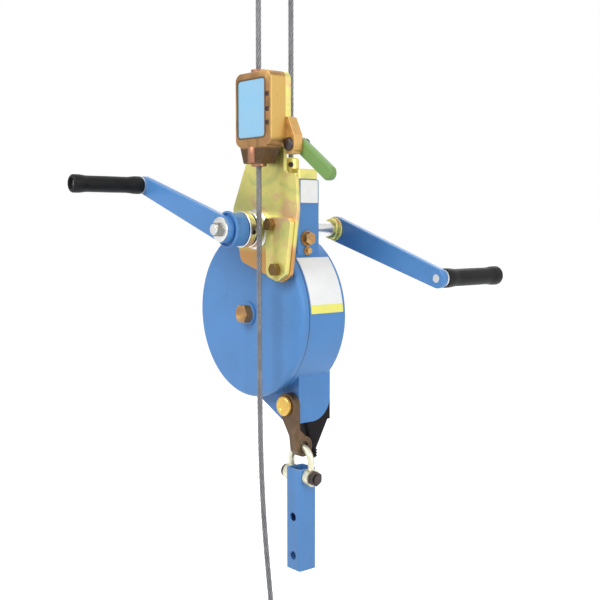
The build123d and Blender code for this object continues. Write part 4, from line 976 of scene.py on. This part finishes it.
class HOIST_OT_drum(bpy.types.Operator):
    """Finish the casing and its cover, with a dark ring of painted shade in the seam between them, and the
    axle's ends
    """

    bl_idname = "hoist.drum"
    bl_label = "Drum"

    def execute(self, context):
        coat("Blue enamel", "rear_casing", "front_cover")
        # Painted shade: a dark blue ring fills the seam between cover and casing
        shade_ring = ring_profile(inner=124.0, outer=129.0, height=3.2, edge=0.3)
        turned("cover_seal", shade_ring, at(0, COVER_SHADE_RING_Y, 0), BACK, "casing", "Seam enamel", steps=160)
        back = (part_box("rear_casing")[1].y - cover_y) / MM
        rise = AXLE_WASHER["height"]
        ends = (("front", 0, FRONT, "Blue enamel"), ("rear", back, BACK, "Bright zinc"))
        for side, y, way, look in ends:
            washer(f"{side}_axle_washer", at(0, y, 0), way, "casing", look, "axle_washers", **AXLE_WASHER)
        stem = rise + back + AXLE_REACH
        bolt = Fastener(at(0, -rise, 0), FRONT, AXLE_HEX_R, height=13.0, stem_r=AXLE_R, stem=stem)
        fasteners("axle_bolt_head", "casing", "Bronze zinc", "axle_bolt", bolt)
        nut = Fastener(at(0, back + rise, 0), BACK, AXLE_HEX_R, height=11.0)
        fasteners("axle_nut_hex", "casing", "Bright zinc", "axle_nut", nut)
        thread = thread_profile(AXLE_R, length=5.0, pitch=1.2)
        start = at(0, back + AXLE_REACH, 0)
        turned("axle_thread", thread, start, BACK, "casing", "Bronze zinc", "axle_bolt", steps=40)
        return {"FINISHED"}


PLATE_BOLT = {"corner_r": 10.0, "height": 8.0, "stem_r": 4.0}
PLATE_BOLTS = (
    Fastener(at(80, -19, 138), FRONT, stem=46.0, **PLATE_BOLT),
    Fastener(at(92, -19, 72), FRONT, stem=24.0, **PLATE_BOLT),
)


class HOIST_OT_carrier(bpy.types.Operator):
    """Finish the carrier plate, the cheek plate, their bolts and spacers"""

    bl_idname = "hoist.carrier"
    bl_label = "Carrier plate"

    def execute(self, context):
        rounded_copy("carrier_plate", "worn", "casing", "Carrier zinc")
        rounded_copy("cheek_plate", "worn", "casing", "Yellow zinc")
        fasteners("plate_bolt_heads", "casing", "Umber zinc", "plate_bolts", *PLATE_BOLTS)
        coat("Bright zinc", "plate_spacers")
        return {"FINISHED"}


GRIP_R = 14.4
GRIP_WAIST_R = 12.9
GRIP_MIDDLE_R = 13.0
GRIP_COLLAR = 10.0
GRIP_SHOULDER = 11.0
GRIP_LIP = 3.0
GRIP_NOSE = 4.0
GRIP_POCKET_R = 9.4
GRIP_BORE_R = 6.1
GRIP_POCKET = 5.4
ROUND_STEPS = 6
BARREL_STEPS = 10


def grip_profile(length):
    """Profile of a crank grip: a collar, a slim barrel, a round nose and a pocket for the spindle's nut."""
    barrel = (
        (GRIP_COLLAR, GRIP_R), (0.22 * length, GRIP_WAIST_R), (0.50 * length, GRIP_MIDDLE_R),
        (0.78 * length, GRIP_WAIST_R), (length - GRIP_SHOULDER, GRIP_R),
    )
    turns = [math.pi / 2 * step / ROUND_STEPS for step in range(ROUND_STEPS + 1)]
    profile = [(GRIP_BORE_R, 0.0)]
    for turn in turns:
        profile.append((GRIP_R - GRIP_LIP * (1 - math.sin(turn)), GRIP_LIP * (1 - math.cos(turn))))
    for (start, start_r), (end, end_r) in zip(barrel, barrel[1:]):
        for step in range(BARREL_STEPS):
            share = step / BARREL_STEPS
            eased = share * share * (3 - 2 * share)
            profile.append((start_r + (end_r - start_r) * eased, start + (end - start) * share))
    profile.append((GRIP_R, length - GRIP_SHOULDER))
    for turn in turns:
        height = length - GRIP_NOSE * (1 - math.sin(turn))
        profile.append((GRIP_R - GRIP_NOSE * (1 - math.cos(turn)), height))
    pocket = length - GRIP_POCKET
    return [*profile, (GRIP_POCKET_R, length), (GRIP_POCKET_R, pocket), (GRIP_BORE_R, pocket)]


# Profile of the bearing collar: two drums with a groove that holds a black ring of painted shade, and a
# flange
COLLAR_PROFILE = (
    (12.05, 0.0), (26.2, 0.0), (27.0, 0.8), (27.0, 11.0), (26.2, 11.6), (24.0, 12.0), (24.0, 15.0),
    (26.2, 15.4), (27.0, 16.0), (27.0, 27.2), (29.2, 27.5), (30.0, 28.3), (30.0, 30.8), (29.4, 31.5),
    (12.05, 31.5),
)
COLLAR_Y = -42.5
COLLAR_SHADE_RING_Y = -30.4
COLLAR_SCREW_Y = -37.0
COLLAR_SCREW_R = 4.2
COLLAR_SCREW_REACH = 26.4
COLLAR_SCREW_TURN = math.radians(-8)
CRANK_WASHER = {"inner": 8, "outer": 18.5, "height": 3}
# Nuts of the crank's shaft and of the shackle's pin
PIN_NUT = {"corner_r": 11.5, "height": 8.0}
# How far outside a crank nut's seat the shaft's threaded end starts
CRANK_THREAD_RISE = 6.0
LEFT_HUB_R = 25.0
RIGHT_HUB_R = 16.5


class HOIST_OT_cranks(bpy.types.Operator):
    """Finish the two cranks with their hubs, collar, nuts, welds and grips"""

    bl_idname = "hoist.cranks"
    bl_label = "Cranks"

    def execute(self, context):
        coat("Blue enamel", "left_arm", "right_arm", "left_hub")
        coat("Yellow zinc", "right_hub")
        coat("Bright zinc", "crank_shaft", "grip_spindles", "grip_washers")
        turned(
            "bearing_collar_turned", COLLAR_PROFILE, on_crank(COLLAR_Y), BACK, "casing", "Bright zinc",
            "bearing_collar",
        )
        # Painted shade: a black ring darkens the collar's groove
        shade_ring = ring_profile(inner=23.6, outer=25.6, height=2.8, edge=0.6)
        turned("collar_seal", shade_ring, on_crank(COLLAR_SHADE_RING_Y), BACK, "casing", "Black rubber")
        screw_way = Vector((math.cos(COLLAR_SCREW_TURN), 0, math.sin(COLLAR_SCREW_TURN)))
        screw_seat = on_crank(COLLAR_SCREW_Y) + screw_way * COLLAR_SCREW_REACH * MM
        socket_screw("collar_screw", screw_seat, screw_way, COLLAR_SCREW_R)
        thread = thread_profile(radius=8.1, length=5.2, pitch=1.0)
        nuts = []
        sides = (
            ("left", FRONT, LEFT_HUB_R, "Blue enamel"), ("right", BACK, RIGHT_HUB_R, "Yellow zinc"),
        )
        for side, way, hub_r, look in sides:
            faces = [(corner.y - cover_y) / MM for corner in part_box(f"{side}_arm")]
            inner, outer = faces if way is BACK else faces[::-1]
            washer(
                f"{side}_crank_washer", on_crank(outer), way, "crank", "Bright zinc", "crank_washers",
                **CRANK_WASHER,
            )
            nut_seat = outer + CRANK_WASHER["height"] * way.y
            nuts.append(Fastener(on_crank(nut_seat), way, **PIN_NUT))
            start = on_crank(nut_seat + CRANK_THREAD_RISE * way.y)
            turned(f"{side}_crank_thread", thread, start, way, "crank", "Bright zinc", steps=40)
            ring_weld(f"{side}_hub_weld", on_crank(inner), hub_r * MM, "crank", look)
        fasteners("crank_nut_hexes", "crank", "Grey steel", "crank_nuts", *nuts)
        for side, way, _, _ in sides:
            grip = f"{side}_grip"
            low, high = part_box(grip)
            base = joint_places[f"{grip}_spin"].copy()
            base.y = low.y if way is BACK else high.y
            profile = grip_profile(length_along_y(grip))
            turned(f"{grip}_turned", profile, base, way, grip, "Grip plastic", grip, steps=64)
        return {"FINISHED"}


# The bezel round the label's place, in metres
RIM_CORNER_R = 0.005
RIM_WIDTH = 0.0022
RIM_DEPTH = 0.0022
RIM_RISE = 0.0008
RIM_EDGE = 0.0004
RIM_STEPS = 6


def rim_frame(name, low, high, front):
    """A bezel in the XZ plane round a box, with a front face at a place on Y."""
    form = bmesh.new()
    section = (
        (0.0, RIM_DEPTH), (0.0, RIM_EDGE), (RIM_EDGE, 0.0),
        (RIM_WIDTH - RIM_EDGE, 0.0), (RIM_WIDTH, RIM_EDGE), (RIM_WIDTH, RIM_DEPTH),
    )
    left, right = low.x + RIM_CORNER_R, high.x - RIM_CORNER_R
    foot, top = low.z + RIM_CORNER_R, high.z - RIM_CORNER_R
    middles = ((right, top), (left, top), (left, foot), (right, foot))
    loops = []
    for outward, depth in section:
        reach = RIM_CORNER_R + outward
        ring = []
        for corner, (x, z) in enumerate(middles):
            for step in range(RIM_STEPS + 1):
                turn = math.pi / 2 * (corner + step / RIM_STEPS)
                point = (x + reach * math.cos(turn), front + depth, z + reach * math.sin(turn))
                ring.append(form.verts.new(point))
        loops.append(ring)
    for inner, outer in zip(loops, loops[1:] + loops[:1]):
        join_rings(form, inner, outer)
    bmesh.ops.recalc_face_normals(form, faces=form.faces)
    return kept(form, name)


GRAB_SCREW_SEATS = tuple(at(109.5, -49, height) for height in (322, 301, 282))
GRAB_SCREW_R = 3.5
GUIDE_FOOT = at(72, -43.5, 226.5)
GUIDE_R = 9.5
GUIDE_HEIGHT = 23.0
GUIDE_EDGE = 1.2
# The guide is a rod with a flat back
GUIDE_BACK_Y = -40


class HOIST_OT_grab(bpy.types.Operator):
    """Finish the rope grab with its back plate, label place, screws, bushes and rope guide"""

    bl_idname = "hoist.grab"
    bl_label = "Rope grab"

    def execute(self, context):
        coat("Housing bronze", "grab_body")
        rounded_copy("grab_back_plate", "worn", "casing", "Yellow zinc")
        rounded_copy("grab_label", "film", "casing", "Label film", sizes().film_round)
        rim = rim_frame("label_rim", *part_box("grab_label"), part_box("grab_body")[0].y - RIM_RISE)
        seat(rim, "casing", "Dark bronze")
        for number, screw_seat in enumerate(GRAB_SCREW_SEATS, 1):
            socket_screw(f"grab_screw_{number}", screw_seat, FRONT, GRAB_SCREW_R, "grab_screws")
        coat("Bush bronze", "grab_bushes")
        rod = [(0.0, 0.0), *rounded_step(GUIDE_R, GUIDE_HEIGHT, GUIDE_EDGE), (0.0, GUIDE_HEIGHT)]
        guide = lathed("rope_guide", rod, GUIDE_FOOT, UP, steps=40)
        flat_back = at(0, GUIDE_BACK_Y, 0).y
        for vert in guide.data.vertices:
            vert.co.y = min(vert.co.y, flat_back)
        seat(guide, "casing", "Bush bronze")
        coat("Dark steel", "left_jaw", "right_jaw")
        coat("Bright zinc", "jaw_pins")
        return {"FINISHED"}


def pin_turned(node, profile, joint, look, steps):
    """A turned pin that stands for a frame node along Y on a joint's axis."""
    base = joint_places[joint].copy()
    base.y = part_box(node)[0].y
    return turned(f"{node}_turned", profile, base, BACK, "casing", look, node, steps=steps)


class HOIST_OT_lever(bpy.types.Operator):
    """Finish the release lever, its lug and its pin"""

    bl_idname = "hoist.lever"
    bl_label = "Release lever"

    def execute(self, context):
        coat("Green enamel", "lever_arm")
        rounded_copy("lever_lug", "worn", "casing", "Ochre zinc")
        length = length_along_y("lever_pin")
        profile = [
            (0.0, 0.0), (6.0, 0.2), (8.5, 1.4), (9.5, 3.2), (9.5, 5.0), (6.0, 5.0), (6.0, length - 4.0),
            (8.8, length - 4.0), (9.5, length - 3.3), (9.5, length - 0.8), (8.6, length), (0.0, length),
        ]
        pin_turned("lever_pin", profile, "lever_lift", "Dark steel", steps=40)
        return {"FINISHED"}


NECK_BOLTS = (
    Fastener(at(92, 41, 117), RIGHT, corner_r=10.0, height=9.0, washer_r=11.5),
    Fastener(at(92, 42, 98.5), RIGHT, corner_r=5.0, height=5.0, washer_r=6.5),
)
INLET_CENTRE = at(64, 32.5, 227)
INLET_SCREW_WAY = Vector((0.763, -0.647, 0))
INLET_SCREW_REACH = 12.2
INLET_SCREW_R = 4.0


class HOIST_OT_neck(bpy.types.Operator):
    """Finish the bridge, the rope inlet, the neck's bolts and the bare plates on neck and drum"""

    bl_idname = "hoist.neck"
    bl_label = "Neck fittings"

    def execute(self, context):
        coat("Yellow zinc", "top_bridge", "rope_inlet")
        fasteners("neck_bolt_heads", "casing", "Ochre zinc", "neck_bolts", *NECK_BOLTS)
        screw_seat = INLET_CENTRE + INLET_SCREW_WAY * INLET_SCREW_REACH * MM
        socket_screw("inlet_screw", screw_seat, INLET_SCREW_WAY, INLET_SCREW_R)
        rounded_copy("neck_plate", "bare", "casing", "White plate", sizes().film_round)
        coat("Drum plate", "drum_tag")
        return {"FINISHED"}


# How far inside the shackle nut's face the pin's threaded end starts
SHACKLE_THREAD_SINK = 1.2


class HOIST_OT_hanger(bpy.types.Operator):
    """Finish the hanger's pin, link and shackle and the tube that it carries"""

    bl_idname = "hoist.hanger"
    bl_label = "Hanger"

    def execute(self, context):
        length = length_along_y("hanger_pin")
        profile = [
            (0.0, 1.4), (7.0, 1.4), (8.4, 0.0), (13.6, 0.0), (15.0, 1.4), (15.0, 5.4), (14.4, 6.0),
            (10.0, 6.0), (10.0, length - 1.0), (9.0, length), (0.0, length),
        ]
        pin_turned("hanger_pin", profile, "hanger_swing", "Orange zinc", steps=48)
        # painted shade: the link's zinc is dark brown for the shade on it
        rounded_copy("hanger_link", "worn", "hanger", "Brown zinc")
        coat("Pale zinc", "shackle_bow")
        coat("Dark steel", "shackle_pin")
        low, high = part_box("shackle_nut")
        nut_seat = joint_places["stirrup_swing"].copy()
        nut_seat.x = low.x
        nut = Fastener(nut_seat, RIGHT, **PIN_NUT)
        fasteners("shackle_nut_hex", "shackle", "Dark steel", "shackle_nut", nut)
        thread = thread_profile(radius=7.1, length=4.5, pitch=1.0)
        start = nut_seat.copy()
        start.x = high.x - SHACKLE_THREAD_SINK * MM
        turned("shackle_thread", thread, start, RIGHT, "shackle", "Dark steel", steps=40)
        rounded_copy("stirrup_tube", "worn", "stirrup", "Blue enamel")
        return {"FINISHED"}


# Profile of the boot's stem, with three rings
BOOT_RING = ((7.0, 0.0), (8.4, 0.6), (8.4, 1.8), (7.0, 2.4))
BOOT_STEM = (
    (4.6, 0.0), (6.6, 0.0), *ringed(count=3, start=1.2, pitch=4.2, pattern=BOOT_RING),
    (7.0, 14.0), (4.6, 14.0),
)
BOOT_STEM_FOOT = at(77, 63, -222)


class HOIST_OT_boot(bpy.types.Operator):
    """Finish the rubber boot at the rope's outlet, with rings on its stem"""

    bl_idname = "hoist.boot"
    bl_label = "Rope boot"

    def execute(self, context):
        coat("Black rubber", "rope_boot")
        turned("boot_stem_rings", BOOT_STEM, BOOT_STEM_FOOT, UP, "casing", "Black rubber", steps=40)
        return {"FINISHED"}


class HOIST_OT_inner_works(bpy.types.Operator):
    """Finish the sheave, gears, roller and bushes inside the drum"""

    bl_idname = "hoist.inner_works"
    bl_label = "Inner works"

    def execute(self, context):
        coat("Cast iron", "sheave")
        coat("Dark steel", "drive_gear", "pinion", "pressure_roller")
        coat("Bright zinc", "gear_bolts", "roller_pin", "axle_sleeve")
        coat("Bush bronze", "sheave_bushes", "neck_bushes")
        return {"FINISHED"}


# Stage, in metres

CAMERA_PLACE = Vector((1.1285, -0.9393, -0.4054))
CAMERA_AZIMUTH = math.radians(49.7)
CAMERA_ELEVATION = math.radians(4.58)
CAMERA_LENS = 58.015
SENSOR_WIDTH = 36.0
FLOOR_REACH = 20.0
FLOOR_DROP = 0.12
FLOOR_COLOUR = (0.82, 0.82, 0.83, 1.0)
FLOOR_GLOW = 0.70
AMBIENT_COLOUR = (0.95, 0.97, 1.0, 1.0)
AMBIENT = 0.47
WHITE = (1.0, 1.0, 1.0, 1.0)
BLACK = (0.0, 0.0, 0.0, 1.0)


class SoftBox(NamedTuple):
    """A square lamp: its place from the hoist's middle along the camera's axes, its width and its power."""

    name: str
    back: float
    right: float
    up: float
    width: float
    power: float


SOFT_BOXES = (
    SoftBox("Key", back=1.5, right=-1.5, up=1.5, width=1.4, power=41.0),
    SoftBox("Fill", back=1.6, right=1.7, up=0.7, width=1.6, power=24.0),
    SoftBox("Rear", back=-1.8, right=0.6, up=1.4, width=1.6, power=8.0),
)


def aim(holder, location, way):
    """Put a camera or lamp at a place, looking along a way."""
    holder.location = location
    holder.rotation_mode = "QUATERNION"
    holder.rotation_quaternion = way.to_track_quat("-Z", "Y")


def seen_rays(tree):
    """1 for rays that show the background: from the camera, off gloss or through glass."""
    path = place(tree, "ShaderNodeLightPath").outputs
    gloss = math_node(tree, "MAXIMUM", path["Is Glossy Ray"], path["Is Transmission Ray"])
    return math_node(tree, "MAXIMUM", path["Is Camera Ray"], gloss)


def pale_floor_finish():
    """Pale floor that is just white where it is lit, so that only the shadow shows."""
    material = bpy.data.materials.new("Pale floor")
    material.use_nodes = True
    tree = material.node_tree
    tree.nodes.remove(tree.nodes["Principled BSDF"])
    matte = result(tree, "ShaderNodeBsdfDiffuse", {"Color": FLOOR_COLOUR})
    glow = result(tree, "ShaderNodeEmission", {"Color": WHITE, "Strength": FLOOR_GLOW})
    dark = result(tree, "ShaderNodeEmission", {"Color": BLACK, "Strength": 0.0})
    shown = result(tree, "ShaderNodeMixShader", {0: seen_rays(tree), 1: dark, 2: glow})
    both = result(tree, "ShaderNodeAddShader", {0: matte, 1: shown})
    tree.links.new(both, tree.nodes["Material Output"].inputs["Surface"])
    return material


class HOIST_OT_stage(bpy.types.Operator):
    """Set the camera, the lamps, the world and the floor"""

    bl_idname = "hoist.stage"
    bl_label = "Stage"

    def execute(self, context):
        scene = context.scene
        scene.view_settings.view_transform = "Standard"
        level = math.cos(CAMERA_ELEVATION)
        back = Vector((
            math.sin(CAMERA_AZIMUTH) * level, -math.cos(CAMERA_AZIMUTH) * level, math.sin(CAMERA_ELEVATION),
        ))
        right = Vector((math.cos(CAMERA_AZIMUTH), math.sin(CAMERA_AZIMUTH), 0))
        up = back.cross(right)
        lens = bpy.data.cameras.new("View")
        lens.lens = CAMERA_LENS
        lens.sensor_width = SENSOR_WIDTH
        scene.camera = new_object("View", lens)
        aim(scene.camera, CAMERA_PLACE, -back)

        middle = (cad_low + cad_high) / 2
        for box in SOFT_BOXES:
            lamp = bpy.data.lights.new(box.name, "AREA")
            lamp.shape = "SQUARE"
            lamp.size = box.width
            lamp.energy = box.power
            offset = back * box.back + right * box.right + up * box.up
            aim(new_object(box.name, lamp), middle + offset, -offset)

        world = bpy.data.worlds.new("Studio")
        world.use_nodes = True
        tree = world.node_tree
        ambient = result(tree, "ShaderNodeBackground", {"Color": AMBIENT_COLOUR, "Strength": AMBIENT})
        white = result(tree, "ShaderNodeBackground", {"Color": WHITE, "Strength": 1.0})
        shown = result(tree, "ShaderNodeMixShader", {0: seen_rays(tree), 1: ambient, 2: white})
        tree.links.new(shown, tree.nodes["World Output"].inputs["Surface"])
        scene.world = world

        height = cad_low.z - FLOOR_DROP
        signs = ((-1, -1), (1, -1), (1, 1), (-1, 1))
        mesh = bpy.data.meshes.new("Floor")
        mesh.from_pydata([(x * FLOOR_REACH, y * FLOOR_REACH, height) for x, y in signs], [], [(0, 1, 2, 3)])
        mesh.materials.append(pale_floor_finish())
        new_object("Floor", mesh)
        return {"FINISHED"}


BUILD_STEPS = (
    HOIST_OT_stage, HOIST_OT_ropes, HOIST_OT_drum, HOIST_OT_carrier, HOIST_OT_cranks, HOIST_OT_grab,
    HOIST_OT_lever, HOIST_OT_neck, HOIST_OT_hanger, HOIST_OT_boot, HOIST_OT_inner_works,
)


class HOIST_PT_panel(bpy.types.Panel):
    """Sidebar panel that lists the build steps and the settings"""

    bl_idname = "HOIST_PT_panel"
    bl_label = "Scaffold Hoist"
    bl_space_type = "VIEW_3D"
    bl_region_type = "UI"
    bl_category = "Hoist"

    def draw(self, context):
        for step in BUILD_STEPS:
            self.layout.operator(step.bl_idname)
        for group in (context.scene.hoist_finishes, context.scene.hoist_sizes):
            for name in group.bl_rna.properties.keys():
                if name not in ("rna_type", "name"):
                    self.layout.prop(group, name)


CLASSES = (HoistFinishes, HoistSizes, *BUILD_STEPS, HOIST_PT_panel)


def register():
    for entry in CLASSES:
        bpy.utils.register_class(entry)
    bpy.types.Scene.hoist_finishes = bpy.props.PointerProperty(type=HoistFinishes)
    bpy.types.Scene.hoist_sizes = bpy.props.PointerProperty(type=HoistSizes)


def unregister():
    del bpy.types.Scene.hoist_sizes
    del bpy.types.Scene.hoist_finishes
    for entry in reversed(CLASSES):
        bpy.utils.unregister_class(entry)


def main():
    register()
    bpy.ops.hoist.stage()
    bpy.ops.hoist.ropes()
    bpy.ops.hoist.drum()
    bpy.ops.hoist.carrier()
    bpy.ops.hoist.cranks()
    bpy.ops.hoist.grab()
    bpy.ops.hoist.lever()
    bpy.ops.hoist.neck()
    bpy.ops.hoist.hanger()
    bpy.ops.hoist.boot()
    bpy.ops.hoist.inner_works()


if __name__ == "__main__":
    main()
